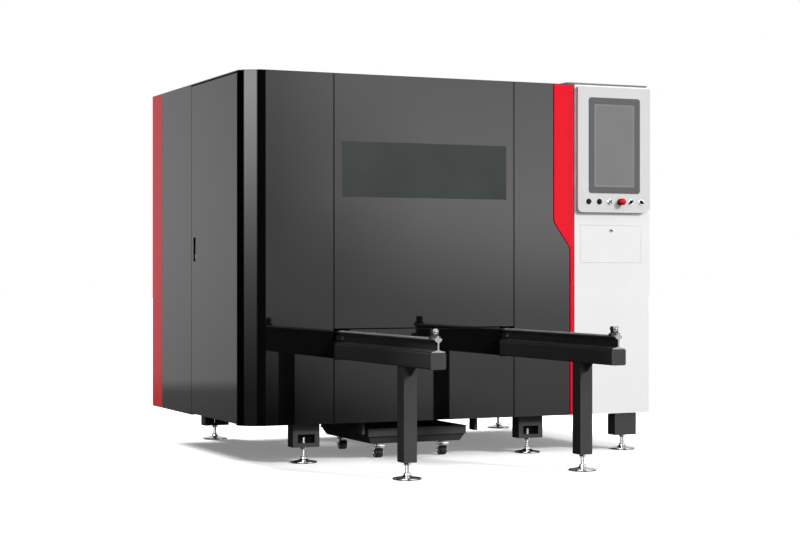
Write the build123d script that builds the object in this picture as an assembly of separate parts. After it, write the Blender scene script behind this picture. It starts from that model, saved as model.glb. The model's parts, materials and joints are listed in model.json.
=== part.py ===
from build123d import *
import math
import os

# Enclosed sheet laser cutting machine with a table that runs out on front rails.
# Lengths are in millimetres. While a piece is drawn, x = 0 is the outer left side, y = 0 the
# front face and z = 0 the floor; save() then moves it so that the origin lies on the floor
# under the middle of the whole machine.

# Overall sizes
body_depth = 1655.0
body_bottom = 210.0
body_top = 2070.0
rail_reach = 1200.0

# Enclosure skins
skin = 2.0
panel_depth = 28.0
panel_gap = 6.0
roof_thickness = 6.0
corner_radius = 156.0
corner_depth = 86.0
corner_width = 126.0
corner_gap = 2.0
corner_post_inset = 16.0
seam_left = 510.0
seam_right = 1585.0
seam_low = 711.0
side_seam = 880.0
red_trim_width = 201.0
red_trim_return = 66.0
red_band_width = 131.0
red_strip_width = 26.0
band_bend_top = 1297.0
band_bend_bottom = 1149.0
band_bend_radius = 60.0
column_left = 1966.0
column_width = 499.0
column_depth = 620.0
column_edge_radius = 10.0

# Frame tubes behind the skins
tube = 50.0
lug_thickness = 6.0

# Bed
bed_left = 300.0
bed_right = 1795.0
bed_front = 78.0
bed_rear_inset = 78.0
bed_side_width = 150.0
bed_lower_height = 100.0
bed_upper_height = 100.0
bed_top = 880.0
cross_tube = 80.0
cross_inset = 15.0
lower_cross_depth = 60.0
arm_width = 40.0
guide_plate_thickness = 16.0
guide_plate_depth = 70.0
guide_plate_front = 70.0
guide_plate_drop = 71.0
guide_plate_reach = 338.0

# Table rails
rail_half_gauge = 491.0
beam_size = 80.0
beam_wall = 5.0
beam_corner = 10.0
beam_bottom = 553.0
end_cap = 6.0
rail_height = 70.0
rail_head_width = 38.0
rail_head_depth = 20.0
rail_web = 8.0
rail_foot_width = 70.0
rail_foot_edge = 4.0
rail_foot_rise = 12.0
inner_rail_inset = 77.0
post_width = 70.0
post_depth = 80.0
post_wall = 5.0
post_plate = 6.0
post_y = -841.0
gusset_leg = 57.0
gusset_drop = 45.0
gusset_thickness = 8.0
splice_length = 120.0
splice_height = 30.0
splice_thickness = 8.0
stop_back = 30.0
stop_depth = 26.0
stop_width = 30.0
stop_height = 42.0
stop_bolt_height = 30.0
stop_bolt_radius = 5.0
stop_bolt_reach = 18.0
end_screw_inset = 12.0
bolt_head_radius = 8.5
bolt_head_height = 7.0

# Levelling feet
foot_disc_radius = 72.5
foot_disc_height = 18.0
stud_radius = 10.0
stud_clearance = 1.0
stud_rise = 28.0
nut_across_flats = 30.0
nut_height = 14.0
foot_box_depth = 80.0
foot_box_height = 125.0
foot_box_wall = 8.0
foot_box_base = 12.0
foot_window_width = 96.0
foot_window_height = 47.0
foot_window_sill = 21.0
front_foot_y = 96.0
rear_foot_inset = 55.0
column_foot_inset = 157.0
column_foot_y = 50.0
column_foot_width = 140.0

# Lift door
door_depth = 26.0
window_left_inset = 46.0
window_right_inset = 48.0
window_top_inset = 361.0
window_height = 295.0
window_thickness = 6.0
window_ledge = 15.0
window_rim = 20.0
door_stroke = 560.0
guide_bar = 20.0
guide_bar_front = 40.0
guide_bar_rise = 116.0
shoe_height = 80.0
shoe_wall = 14.0
slide_clearance = 0.3
lower_shoe_rise = 186.0
upper_shoe_rise = 586.0
cylinder_half_width = 20.0
cylinder_inset = 56.0
cylinder_y = 54.0
cylinder_cap = 10.0
cylinder_wall_gap = 0.08
rod_radius = 8.0
rod_overlap = 24.0
rod_reserve = 15.0
lug_height = 20.0
lug_rise = 125.0

# Side door
side_door_depth = 24.0
side_door_gap = 7.0
side_door_end_gap = 8.0
pivot_inset = 8.0
pivot_radius = 5.0
pivot_clearance = 0.08
handle_height = 138.0
handle_width = 45.0
handle_bottom = 1071.0
handle_rear_inset = 32.0
handle_depth = 22.0
handle_wall = 3.0
handle_finger_gap = 24.0
lever_thickness = 8.0
lever_pin_radius = 3.0
lever_pin_height = 14.0

# Worktable
table_front = 240.0
table_rear_inset = 97.0
table_side_width = 50.0
table_bottom = 716.0
table_height = 60.0
ledge_width = 20.0
ledge_thickness = 6.0
slat_thickness = 4.0
slat_height = 63.0
slat_pitch = 58.0
tooth_pitch = 100.0
tooth_depth = 14.0
wheel_tread_radius = 40.0
wheel_flange_radius = 50.0
wheel_flange_width = 8.0
wheel_flange_slope = 2.0
wheel_groove = 42.0
wheel_inset = 60.0
wheel_side_gap = 4.5
axle_radius = 10.0
axle_clearance = 0.08
axle_cap = 3.0
axle_cap_flats = 30.0
running_gap = 0.3

# Gantry, carriage and cutting head
guide_rail_width = 20.0
guide_rail_height = 20.0
rack_width = 22.0
rack_height = 30.0
block_length = 60.0
block_width = 60.0
block_height = 30.0
gantry_inset = 247.0
gantry_depth = 150.0
gantry_height = 180.0
gantry_wall = 8.0
gantry_overhang = 30.0
motor_size = 80.0
motor_length = 120.0
motor_step = 8.0
brake_length = 40.0
carriage_width = 160.0
carriage_height = 220.0
carriage_thickness = 20.0
head_plate_height = 150.0
head_clamp_rise = 40.0
head_clamp_height = 70.0
head_radius = 30.0
head_length = 170.0
head_neck_radius = 18.0
head_body_bottom = 905.0
nozzle_length = 18.0
nozzle_cone = 12.0
nozzle_radius = 12.5
nozzle_tip_radius = 3.0
nozzle_tip_z = 870.0

# Control column
housing_inset = 13.0
housing_top_inset = 10.0
housing_foot = 61.0
housing_depth = 22.0
housing_wall = 3.0
housing_chamfer_width = 45.0
housing_chamfer_height = 26.0
housing_corner = 28.0
bezel_inset = 70.0
bezel_width = 334.0
bezel_top_inset = 60.0
bezel_height = 540.0
bezel_proud = 2.0
bezel_depth = 8.0
bezel_corner = 16.0
screen_side_border = 35.0
screen_end_border = 35.5
screen_recess = 1.0
monitor_back_depth = 40.0
button_row_drop = 48.0
button_pitch = 68.6
button_ring_proud = 3.0
button_cap_radius = 10.0
button_cap_proud = 6.0
button_travel = 3.0
button_back_gap = 2.0
pressed_places = (0, 1, 3)
switch_knob_proud = 16.0
switch_knob_width = 7.0
stop_button_radius = 20.0
stop_button_proud = 34.0
stop_button_skirt = 14.0
stop_button_edge = 5.0
stop_button_back_gap = 3.0
stop_button_travel = 6.0
flap_inset = 42.0
flap_width = 394.0
flap_drop = 74.0
flap_height = 210.0
flap_gap = 2.0
flap_depth = 22.0
flap_pin_radius = 2.5
flap_pin_clearance = 0.05
flap_pin_inset = 4.0
recess_depth = 150.0
lock_drop = 27.0
lock_radius = 7.0
lock_proud = 3.0
lock_length = 20.0
cap_overhang = 39.0
cap_inset = 17.0
cap_front = 10.0
cap_depth = 590.0
cap_thickness = 12.0

# Rear face
duct_x = 650.0
duct_z = 480.0
duct_radius = 100.0
duct_wall = 3.0
duct_length = 60.0
duct_flange = 25.0
louvre_count = 8
louvre_length = 300.0
louvre_height = 8.0
louvre_pitch = 24.0
louvre_bottom = 420.0
gland_radius = 16.0
gland_length = 20.0

# Scrap hopper and cart
hopper_top_z = 473.0
hopper_bottom_z = 235.0
hopper_top_inset = 20.0
hopper_front = 180.0
hopper_rear_inset = 77.0
hopper_mouth_left = 790.0
hopper_mouth_right = 1280.0
hopper_mouth_front = 150.0
hopper_mouth_rear = 740.0
cart_left = 742.0
cart_right = 1328.0
cart_front = 80.0
cart_depth = 700.0
cart_bottom = 84.0
cart_waist = 125.0
cart_top = 167.0
cart_taper = 22.0
cart_rim = 4.0
cart_sheet = 3.0
caster_inset_x = 100.0
caster_inset_y = 85.0
caster_wheel_radius = 26.0
caster_wheel_width = 20.0
caster_trail = 16.0
caster_race_radius = 20.0
caster_race_height = 10.0
fork_thickness = 3.0
fork_gap = 1.0
fork_width = 26.0
caster_pin_radius = 4.0
caster_pin_clearance = 0.08

# Laser source inside the column's cabinet
source_height = 420.0
source_front = 760.0
source_depth = 560.0
source_corner = 6.0

# Worked out from the sizes above
body_width = column_left + column_width
bed_rear = body_depth - bed_rear_inset
inner_rail_end = bed_rear - inner_rail_inset
rear_foot_y = body_depth - rear_foot_inset
column_foot_x = body_width - column_foot_inset
gantry_y = bed_rear - gantry_inset
hopper_rear = bed_rear - hopper_rear_inset
housing_left = column_left + housing_inset
housing_right = body_width - housing_inset
bezel_left = housing_left + bezel_inset
bezel_right = bezel_left + bezel_width
housing_top = body_top - housing_top_inset
bezel_top = housing_top - bezel_top_inset
bezel_bottom = bezel_top - bezel_height
screen_width = bezel_width - 2 * screen_side_border
screen_height = bezel_height - 2 * screen_end_border
button_row_z = bezel_bottom - button_row_drop
housing_bottom = button_row_z - housing_foot
flap_top = housing_bottom - flap_drop
flap_bottom = flap_top - flap_height
lock_z = flap_top - lock_drop
button_proud = button_ring_proud + button_cap_proud
button_length = housing_depth + button_proud - button_travel - button_back_gap
stop_proud = button_ring_proud + stop_button_proud
stop_button_length = housing_depth + stop_proud - stop_button_travel - stop_button_back_gap
flap_left = column_left + flap_inset
flap_right = flap_left + flap_width
cap_left = column_left - cap_overhang
cap_right = body_width - cap_inset
origin_x = body_width / 2
origin_y = (rear_foot_y + foot_disc_radius - rail_reach) / 2
skin_top = body_top - roof_thickness
bay_centre = (seam_left + seam_right) / 2
frame_top = skin_top
beam_top = beam_bottom + beam_size
rail_top = beam_top + rail_height
rail_x = [bay_centre - rail_half_gauge, bay_centre + rail_half_gauge]
cross_top = beam_bottom
cross_bottom = cross_top - cross_tube
door_left = seam_left + panel_gap / 2
door_right = seam_right - panel_gap / 2
door_bottom = seam_low + panel_gap / 2
window_left = seam_left + window_left_inset
window_right = seam_right - window_right_inset
window_top = body_top - window_top_inset
window_bottom = window_top - window_height
shoe_z = [door_bottom + lower_shoe_rise, door_bottom + upper_shoe_rise]
guide_bar_bottom = door_bottom + guide_bar_rise
cylinder_top = frame_top - tube
rod_bottom = door_bottom + lug_rise
cylinder_bottom = rod_bottom + door_stroke + rod_reserve
band_left = column_left - red_band_width
strip_left = column_left - red_strip_width
notch_half = beam_size / 2 + panel_gap / 2 + 0.5
side_door_front = corner_depth + side_door_gap
side_door_rear = side_seam - panel_gap / 2
side_door_bottom = body_bottom + side_door_end_gap
side_door_top = skin_top - side_door_end_gap
pivot_y = side_door_front + pivot_inset
wheel_inner_reach = wheel_groove / 2 + wheel_flange_width
table_half_width = rail_half_gauge - wheel_inner_reach - wheel_side_gap
table_left = bay_centre - table_half_width
table_right = bay_centre + table_half_width
table_rear = bed_rear - table_rear_inset
table_top = table_bottom + table_height
wheel_z = rail_top + running_gap + wheel_tread_radius
wheel_y = [table_front + wheel_inset, table_rear - wheel_inset]
gantry_rail_x = [bed_left + bed_side_width / 2, bed_right - bed_side_width / 2]
gantry_rail_top = bed_top + guide_rail_height
gantry_bottom = gantry_rail_top + block_height
gantry_left = gantry_rail_x[0] - block_width / 2 - gantry_overhang
gantry_right = gantry_rail_x[1] + block_width / 2 + gantry_overhang
carriage_rail_z = [gantry_bottom + gantry_height * 0.25, gantry_bottom + gantry_height * 0.75]
carriage_y = gantry_y - guide_rail_width - carriage_thickness
flap_pin_z = flap_bottom + flap_pin_inset
flap_pin_bore = flap_pin_radius + flap_pin_clearance


def bar(x0, x1, y0, y1, z0, z1):
    """Upright rectangular block between two corners."""
    middle = Pos((x0 + x1) / 2, (y0 + y1) / 2, (z0 + z1) / 2)
    return middle * Box(x1 - x0, y1 - y0, z1 - z0)


def rod(x, y, z, radius, length, axis):
    """Cylinder that starts at a point and runs along +x, +y or +z."""
    turns = {"x": Rotation(0, 90, 0), "y": Rotation(-90, 0, 0), "z": Rotation(0, 0, 0)}
    upright = Pos(0, 0, length / 2) * Cylinder(radius, length)
    return Pos(x, y, z) * turns[axis] * upright


def hexagon(x, y, z, across_flats, length, axis):
    """Hexagonal nut or bolt head that starts at a point and runs along +x, +y or +z."""
    turns = {"x": Rotation(0, 90, 0), "y": Rotation(-90, 0, 0), "z": Rotation(0, 0, 0)}
    outline = RegularPolygon(across_flats / 2, 6, major_radius=False)
    return Pos(x, y, z) * turns[axis] * extrude(outline, length)


def front_sheet(outline, y, depth):
    """Flat outline drawn in x and z, given depth towards the rear from y."""
    drawn = Plane.XZ.offset(-y) * outline
    return extrude(drawn, -depth)


def polygon(points):
    """Face with straight edges through the given points."""
    return make_face(Polyline(*points, close=True))


def save(name, *solids):
    """Writes one node, moved so that the origin lies under the machine's middle."""
    move = Pos(-origin_x, -origin_y, 0)
    moved = []
    for solid in solids:
        for piece in solid.solids():
            moved.append(piece.moved(move))
    shape = moved[0] if len(moved) == 1 else Compound(children=moved)
    export_step(shape, f"parts/{name}.step")


def front_tray(x0, x1, z0, z1, depth=panel_depth):
    """Folded panel with its outer face at y = 0 and its edges turned to the rear."""
    outer = bar(x0, x1, 0, depth, z0, z1)
    hollow = bar(x0 + skin, x1 - skin, skin, depth, z0 + skin, z1 - skin)
    return outer - hollow


def left_tray(y0, y1, z0, z1, depth=panel_depth):
    """Folded panel with its outer face at x = 0 and its edges turned inwards."""
    outer = bar(0, depth, y0, y1, z0, z1)
    hollow = bar(skin, depth, y0 + skin, y1 - skin, z0 + skin, z1 - skin)
    return outer - hollow


def rear_tray(x0, x1, z0, z1):
    """Folded panel with its outer face on the rear plane."""
    outer = bar(x0, x1, body_depth - panel_depth, body_depth, z0, z1)
    inner_y = body_depth - panel_depth
    hollow = bar(x0 + skin, x1 - skin, inner_y, body_depth - skin, z0 + skin, z1 - skin)
    return outer - hollow


def mirrored_right(shape):
    """The same shape on the machine's right-hand side."""
    return mirror(shape, Plane.YZ.offset(body_width / 2))


# Bed, a welded frame that carries the rails, the gantry and the front panel
def foot_box(x, y, width, windowed):
    """Square leg box with a floor plate, a stud hole and, at will, a window for the spanner."""
    y0 = y - foot_box_depth / 2
    y1 = y + foot_box_depth / 2
    z0 = body_bottom - foot_box_height
    outer = bar(x - width / 2, x + width / 2, y0, y1, z0, body_bottom)
    wall = foot_box_wall
    inside = bar(
        x - width / 2 + wall,
        x + width / 2 - wall,
        y0 + wall,
        y1 - wall,
        z0 + foot_box_base,
        body_bottom - wall,
    )
    sill = z0 + foot_window_sill
    window = bar(
        x - foot_window_width / 2,
        x + foot_window_width / 2,
        y0 - 1,
        y0 + wall + 1,
        sill,
        sill + foot_window_height,
    )
    hole = rod(x, y, z0 - 1, stud_radius + stud_clearance, foot_box_base + 2, "z")
    box = outer - inside - hole
    return box - window if windowed else box


def cross_positions():
    """Front edges of the three upper cross members."""
    first = bed_front + cross_inset
    last = bed_rear - cross_inset - cross_tube
    return [first, (first + last) / 2, last]


def bed_side(x0):
    """One side of the bed: lower beam, three uprights and the beam under the gantry rail."""
    x1 = x0 + bed_side_width
    side = bar(x0, x1, bed_front, bed_rear, body_bottom, body_bottom + bed_lower_height)
    side += bar(x0, x1, bed_front, bed_rear, bed_top - bed_upper_height, bed_top)
    upright = 110.0
    span = bed_rear - bed_front - upright
    for step in range(3):
        y0 = bed_front + span * step / 2
        side += bar(x0, x1, y0, y0 + upright, body_bottom, bed_top)
    return side


def make_bed():
    bed = bed_side(bed_left) + bed_side(bed_right - bed_side_width)
    inner_left = bed_left + bed_side_width
    inner_right = bed_right - bed_side_width
    for y0 in cross_positions():
        bed += bar(inner_left, inner_right, y0, y0 + cross_tube, cross_bottom, cross_top)
    for y0 in (bed_front, bed_rear - lower_cross_depth):
        bed += bar(
            inner_left,
            inner_right,
            y0,
            y0 + lower_cross_depth,
            body_bottom,
            body_bottom + cross_tube,
        )
    half = beam_size / 2
    for x in rail_x:
        bed += bar(x - half, x + half, 0, bed_rear - cross_inset, beam_bottom, beam_top)
    for side in (-1, 1):
        arm_x = bay_centre + side * guide_plate_reach
        bed += bar(
            arm_x - arm_width / 2,
            arm_x + arm_width / 2,
            panel_depth,
            bed_front,
            body_bottom,
            body_bottom + arm_width,
        )
        plate_half = guide_plate_thickness / 2
        bed += bar(
            arm_x - plate_half,
            arm_x + plate_half,
            guide_plate_front,
            guide_plate_front + guide_plate_depth,
            body_bottom - guide_plate_drop,
            body_bottom,
        )
    for x in gantry_rail_x:
        for y in (front_foot_y, rear_foot_y):
            bed += foot_box(x, y, bed_side_width, True)
    return bed


# Enclosure frame of square tube, with the column's foot boxes and the side door's lugs
def frame_upright(x0, y0):
    return bar(x0, x0 + tube, y0, y0 + tube, body_bottom, frame_top)


def make_enclosure_frame():
    near = panel_depth
    far_x = body_width - panel_depth - tube
    far_y = body_depth - panel_depth - tube
    bay_left = seam_left - 5 - tube
    bay_right = seam_right + 5
    column_x = column_left - 11 - tube
    frame = None
    for z0, z1 in ((body_bottom, body_bottom + tube), (frame_top - tube, frame_top)):
        ring = bar(near, near + tube, near + tube, far_y + tube, z0, z1)
        ring += bar(far_x, far_x + tube, near, far_y + tube, z0, z1)
        ring += bar(near, far_x + tube, far_y, far_y + tube, z0, z1)
        ring += bar(column_x, column_x + tube, near, far_y + tube, z0, z1)
        if z0 == body_bottom:
            ring += bar(near + tube, bay_left + tube, near, near + tube, z0, z1)
            ring += bar(bay_right, far_x + tube, near, near + tube, z0, z1)
        else:
            ring += bar(near + tube, far_x + tube, near, near + tube, z0, z1)
        frame = ring if frame is None else frame + ring
    corner_start = near + corner_post_inset
    frame += frame_upright(corner_start, corner_start)
    for x0, y0 in (
        (bay_left, near),
        (bay_right, near),
        (column_x, near),
        (far_x, near),
        (near, side_seam - tube / 2),
        (far_x, column_depth - 22),
        (near, far_y),
        (body_width / 2 - tube / 2, far_y),
        (far_x, far_y),
    ):
        frame += frame_upright(x0, y0)
    for z0 in (body_bottom, frame_top - lug_thickness):
        lug = bar(1, near, pivot_y - pivot_inset, pivot_y + pivot_inset, z0, z0 + lug_thickness)
        frame += lug
    for z0 in (body_bottom, frame_top - lug_thickness):
        hole_radius = pivot_radius + pivot_clearance
        frame -= rod(pivot_inset, pivot_y, z0 - 1, hole_radius, lug_thickness + 2, "z")
    frame += foot_box(column_foot_x, column_foot_y, column_foot_width, False)
    frame += foot_box(column_foot_x, rear_foot_y, column_foot_width, False)
    return frame


# Skins
def corner_centre():
    """Centre of the rounded corner's arc, which meets both panels at an angle."""
    half_chord = math.hypot(corner_width, corner_depth) / 2
    rise = math.sqrt(corner_radius**2 - half_chord**2)
    return (
        corner_width / 2 + rise * corner_depth / (2 * half_chord),
        corner_depth / 2 + rise * corner_width / (2 * half_chord),
    )


def corner_middle():
    """Point halfway along the corner's arc."""
    x, y = corner_centre()
    half_chord = math.hypot(corner_width, corner_depth) / 2
    return (
        x - corner_radius * corner_depth / (2 * half_chord),
        y - corner_radius * corner_width / (2 * half_chord),
    )


def field(x0, x1, y0, y1):
    """Rectangle in the ground plane between two corners."""
    return Pos((x0 + x1) / 2, (y0 + y1) / 2) * Rectangle(x1 - x0, y1 - y0)


def make_corner_column():
    """Rounded front corner, rolled from one sheet with both edges turned inwards."""
    disc = Pos(*corner_centre()) * Circle(corner_radius)
    core = Pos(*corner_centre()) * Circle(corner_radius - skin)
    wall = (disc - core) & field(0, corner_width, 0, corner_depth)
    front_flange = field(corner_width - skin, corner_width, 0, panel_depth) & disc
    rear_flange = field(0, panel_depth, corner_depth - skin, corner_depth) & disc
    section = wall + front_flange + rear_flange
    return Pos(0, 0, body_bottom) * extrude(section, skin_top - body_bottom)


def band_edge(shift):
    """Slanted edge between the dark panel and the red band, from top to bottom."""
    top_x = band_left + shift
    low_x = strip_left + shift
    path = Polyline(
        (top_x, skin_top),
        (top_x, band_bend_top),
        (low_x, band_bend_bottom),
        (low_x, body_bottom),
    )
    return fillet(path.vertices()[1:3], band_bend_radius)


def edge_face(edge, other_x):
    """Face between the slanted edge and a vertical line."""
    start = edge @ 0
    end = edge @ 1
    closing = Polyline((end.X, end.Y), (other_x, end.Y), (other_x, start.Y), (start.X, start.Y))
    return make_face(edge.edges() + closing.edges())


def slanted_panel(shift, other_x):
    """Folded panel whose one edge follows the slant."""
    outline = edge_face(band_edge(shift), other_x)
    sheet = front_sheet(outline, 0, panel_depth)
    core = front_sheet(offset(outline, -skin), skin, panel_depth)
    return sheet - core


def make_lower_front_panel():
    """Lower panel with its top corners cut back round the two rail beams."""
    top = seam_low - panel_gap / 2
    notch_z = beam_bottom - 4
    left_edge = rail_x[0] + notch_half
    right_edge = rail_x[1] - notch_half
    outline = polygon(
        [
            (door_left, body_bottom),
            (door_right, body_bottom),
            (door_right, notch_z),
            (right_edge, notch_z),
            (right_edge, top),
            (left_edge, top),
            (left_edge, notch_z),
            (door_left, notch_z),
        ]
    )
    sheet = front_sheet(outline, 0, panel_depth)
    core = front_sheet(offset(outline, -skin), skin, panel_depth)
    return sheet - core


def make_roof():
    """Roof tray, notched for the lift door and for the control column."""
    right = column_left
    behind_door = panel_depth + 2
    lines = [ThreePointArc((0, corner_depth), corner_middle(), (corner_width, 0))]
    points = [
        (corner_width, 0),
        (seam_left, 0),
        (seam_left, behind_door),
        (seam_right, behind_door),
        (seam_right, 0),
        (right, 0),
        (right, column_depth + panel_gap),
        (body_width, column_depth + panel_gap),
        (body_width, body_depth),
        (0, body_depth),
        (0, corner_depth),
    ]
    lines.append(Polyline(*points))
    edges = []
    for line in lines:
        edges += line.edges()
    outline = make_face(edges)
    plate = Pos(0, 0, skin_top) * extrude(outline, roof_thickness)
    hollow = offset(outline, -(panel_depth + tube))
    core = Pos(0, 0, skin_top) * extrude(hollow, roof_thickness - skin)
    return plate - core


def make_red_trims():
    """Rear corner trims, each one sheet folded round the corner."""
    front = body_depth - red_trim_width + 1
    side = left_tray(front, body_depth, body_bottom, skin_top)
    rear = rear_tray(0, red_trim_return, body_bottom, skin_top)
    trim = side + rear
    trim -= bar(
        skin,
        panel_depth + 1,
        body_depth - panel_depth - skin,
        body_depth - skin,
        body_bottom + skin,
        skin_top - skin,
    )
    trim -= bar(
        panel_depth - skin - 1,
        red_trim_return - skin,
        body_depth - panel_depth,
        body_depth - skin,
        body_bottom + skin,
        skin_top - skin,
    )
    return trim, mirrored_right(trim)


def make_rear_panels():
    """Two rear panels: one with the extraction duct's spigot, one with louvres and a gland."""
    left = red_trim_return + panel_gap
    middle = body_width / 2
    right = body_width - left
    duct_panel = rear_tray(left, middle - panel_gap / 2, body_bottom, skin_top)
    duct_panel -= rod(duct_x, body_depth - duct_length, duct_z, duct_radius, duct_length + 1, "y")
    spigot = rod(duct_x, body_depth - duct_length, duct_z, duct_radius + duct_wall, duct_length, "y")
    spigot += rod(duct_x, body_depth - 2 * skin, duct_z, duct_radius + duct_flange, skin, "y")
    spigot -= rod(duct_x, body_depth - duct_length - 1, duct_z, duct_radius, duct_length + 2, "y")
    duct_panel += spigot
    vent_panel = rear_tray(middle + panel_gap / 2, right, body_bottom, skin_top)
    vent_x = (middle + right) / 2
    for row in range(louvre_count):
        z0 = louvre_bottom + row * louvre_pitch
        vent_panel -= bar(
            vent_x - louvre_length / 2,
            vent_x + louvre_length / 2,
            body_depth - skin - 1,
            body_depth + 1,
            z0,
            z0 + louvre_height,
        )
    gland_z = body_bottom + 5 * gland_radius
    vent_panel += rod(vent_x, body_depth - gland_length, gland_z, gland_radius, gland_length, "y")
    return duct_panel, vent_panel


# Control column
def housing_outline():
    """Front outline of the monitor housing: three round corners and one cut corner."""
    outline = polygon(
        [
            (housing_left, housing_bottom),
            (housing_right - housing_chamfer_width, housing_bottom),
            (housing_right, housing_bottom + housing_chamfer_height),
            (housing_right, housing_top),
            (housing_left, housing_top),
        ]
    )
    corners = outline.vertices()
    low_left = corners.sort_by(Axis.X).filter_by(lambda v: v.X < housing_left + 1).sort_by(Axis.Y)
    rounded = fillet([low_left[0]], housing_corner)
    others = [v for v in rounded.vertices() if v.Y > housing_top - 1]
    return fillet(others, bezel_corner / 2)


def make_monitor_housing():
    shell = front_sheet(housing_outline(), -housing_depth, housing_depth)
    inner_outline = offset(housing_outline(), -housing_wall)
    core = front_sheet(inner_outline, housing_wall - housing_depth, housing_depth)
    shell -= core
    shell -= bar(
        bezel_left + bezel_depth,
        bezel_right - bezel_depth,
        -housing_depth - 1,
        0,
        bezel_bottom + bezel_depth,
        bezel_top - bezel_depth,
    )
    bore = button_cap_radius + slide_clearance
    for place in pressed_places:
        shell -= rod(button_x(place), -housing_depth - 1, button_row_z, bore, housing_wall + 2, "y")
    return shell


def rounded_rectangle(x0, x1, z0, z1, radius):
    sketch = RectangleRounded(x1 - x0, z1 - z0, radius)
    return Pos((x0 + x1) / 2, (z0 + z1) / 2) * sketch


def make_bezel():
    ring = rounded_rectangle(bezel_left, bezel_right, bezel_bottom, bezel_top, bezel_corner)
    front = -housing_depth - bezel_proud
    body = front_sheet(ring, front, bezel_proud)
    tongue = bar(
        bezel_left + bezel_depth + slide_clearance,
        bezel_right - bezel_depth - slide_clearance,
        -housing_depth,
        -housing_depth + bezel_depth,
        bezel_bottom + bezel_depth + slide_clearance,
        bezel_top - bezel_depth - slide_clearance,
    )
    middle_x = (bezel_left + bezel_right) / 2
    middle_z = (bezel_bottom + bezel_top) / 2
    hole = bar(
        middle_x - screen_width / 2,
        middle_x + screen_width / 2,
        front - 1,
        0,
        middle_z - screen_height / 2,
        middle_z + screen_height / 2,
    )
    return body + tongue - hole


def make_touch_screen():
    """Screen glass in the bezel, with the monitor's box behind it."""
    middle_x = (bezel_left + bezel_right) / 2
    middle_z = (bezel_bottom + bezel_top) / 2
    front = -housing_depth - bezel_proud + screen_recess
    back = -housing_depth + bezel_depth
    glass = bar(
        middle_x - screen_width / 2,
        middle_x + screen_width / 2,
        front,
        back,
        middle_z - screen_height / 2,
        middle_z + screen_height / 2,
    )
    case = bar(
        bezel_left + 2 * bezel_depth,
        bezel_right - 2 * bezel_depth,
        back,
        monitor_back_depth,
        bezel_bottom + 2 * bezel_depth,
        bezel_top - 2 * bezel_depth,
    )
    return glass + case


def make_column_shell():
    """Pale column: front, right side and a keyboard recess, folded and welded."""
    left = column_left + panel_gap / 2
    outer = bar(left, body_width, 0, column_depth, body_bottom, body_top)
    edge = outer.edges().filter_by(Axis.Z).sort_by(lambda e: e.center().Y - e.center().X)[0]
    outer = fillet(edge, column_edge_radius)
    hollow = bar(left + skin, body_width - skin, skin, column_depth, body_bottom, body_top - skin)
    shell = outer - hollow
    for z0 in (body_bottom, frame_top - tube):
        shell -= bar(left - 1, left + skin + 1, panel_depth, panel_depth + tube, z0, z0 + tube)
    shell -= bar(
        bezel_left + bezel_depth,
        bezel_right - bezel_depth,
        -1,
        skin + 1,
        bezel_bottom + bezel_depth,
        bezel_top - bezel_depth,
    )
    box_left = flap_left - flap_gap
    box_right = flap_right + flap_gap
    box_bottom = flap_bottom - flap_gap
    box_top = flap_top + flap_gap
    mouth_depth = panel_depth - skin
    shell += bar(
        box_left - skin, box_right + skin, skin, mouth_depth, box_bottom - skin, box_top + skin
    )
    deep_left = box_left + flap_gap
    deep_right = body_width - panel_depth - tube - flap_gap - skin
    shell += bar(
        deep_left - skin, deep_right + skin, skin, recess_depth, box_bottom - skin, box_top + skin
    )
    shell -= bar(box_left, box_right, -1, mouth_depth - skin, box_bottom, box_top)
    shell -= bar(deep_left, deep_right, -1, recess_depth - skin, box_bottom, box_top)
    shell -= rod(box_left - skin - 1, flap_pin_inset, flap_pin_z, flap_pin_bore, skin + 2, "x")
    shell -= rod(box_right - 1, flap_pin_inset, flap_pin_z, flap_pin_bore, skin + 2, "x")
    return shell


def make_flap():
    """Keyboard flap, a tray hinged along its lower edge on two pins."""
    flap = bar(flap_left, flap_right, 0, flap_depth, flap_bottom, flap_top)
    flap -= bar(
        flap_left + skin,
        flap_right - skin,
        skin,
        flap_depth,
        flap_bottom + 2 * flap_pin_inset,
        flap_top - skin,
    )
    middle = (flap_left + flap_right) / 2
    flap -= rod(middle, -1, lock_z, lock_radius + slide_clearance, skin + 2, "y")
    reach = flap_gap + skin / 2
    flap += rod(flap_left - reach, flap_pin_inset, flap_pin_z, flap_pin_radius, reach + 4, "x")
    flap += rod(flap_right - 4, flap_pin_inset, flap_pin_z, flap_pin_radius, reach + 4, "x")
    return flap


def button_x(place):
    return bezel_left + place * button_pitch


def make_push_button(place):
    front = -housing_depth - button_proud
    return rod(button_x(place), front, button_row_z, button_cap_radius, button_length, "y")


def make_selector(place):
    """Rotary switch with a raised bar across its face."""
    front = -housing_depth - button_ring_proud
    x = button_x(place)
    switch = rod(x, front, button_row_z, button_cap_radius, button_ring_proud, "y")
    half = switch_knob_width / 2
    reach = button_cap_radius - 1.5
    low = button_row_z - reach
    high = button_row_z + reach
    switch += bar(x - half, x + half, front - switch_knob_proud, front, low, high)
    return switch


def make_emergency_stop(place):
    """Mushroom button on its stem."""
    x = button_x(place)
    front = -housing_depth - stop_proud
    radius = stop_button_radius
    sketch = make_face(
        [
            Polyline(
                (0, 0),
                (radius - stop_button_edge, 0),
                (radius, stop_button_edge),
                (radius, stop_button_skirt),
                (button_cap_radius, stop_button_skirt),
                (button_cap_radius, stop_button_length),
                (0, stop_button_length),
                close=True,
            )
        ]
    )
    turned = revolve(Plane.XY * sketch, Axis.Y)
    return Pos(x, front, button_row_z) * turned


def make_flap_lock():
    """Turning barrel of the flap's lock."""
    middle = (flap_left + flap_right) / 2
    return rod(middle, -lock_proud, lock_z, lock_radius, lock_length, "y")


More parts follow.
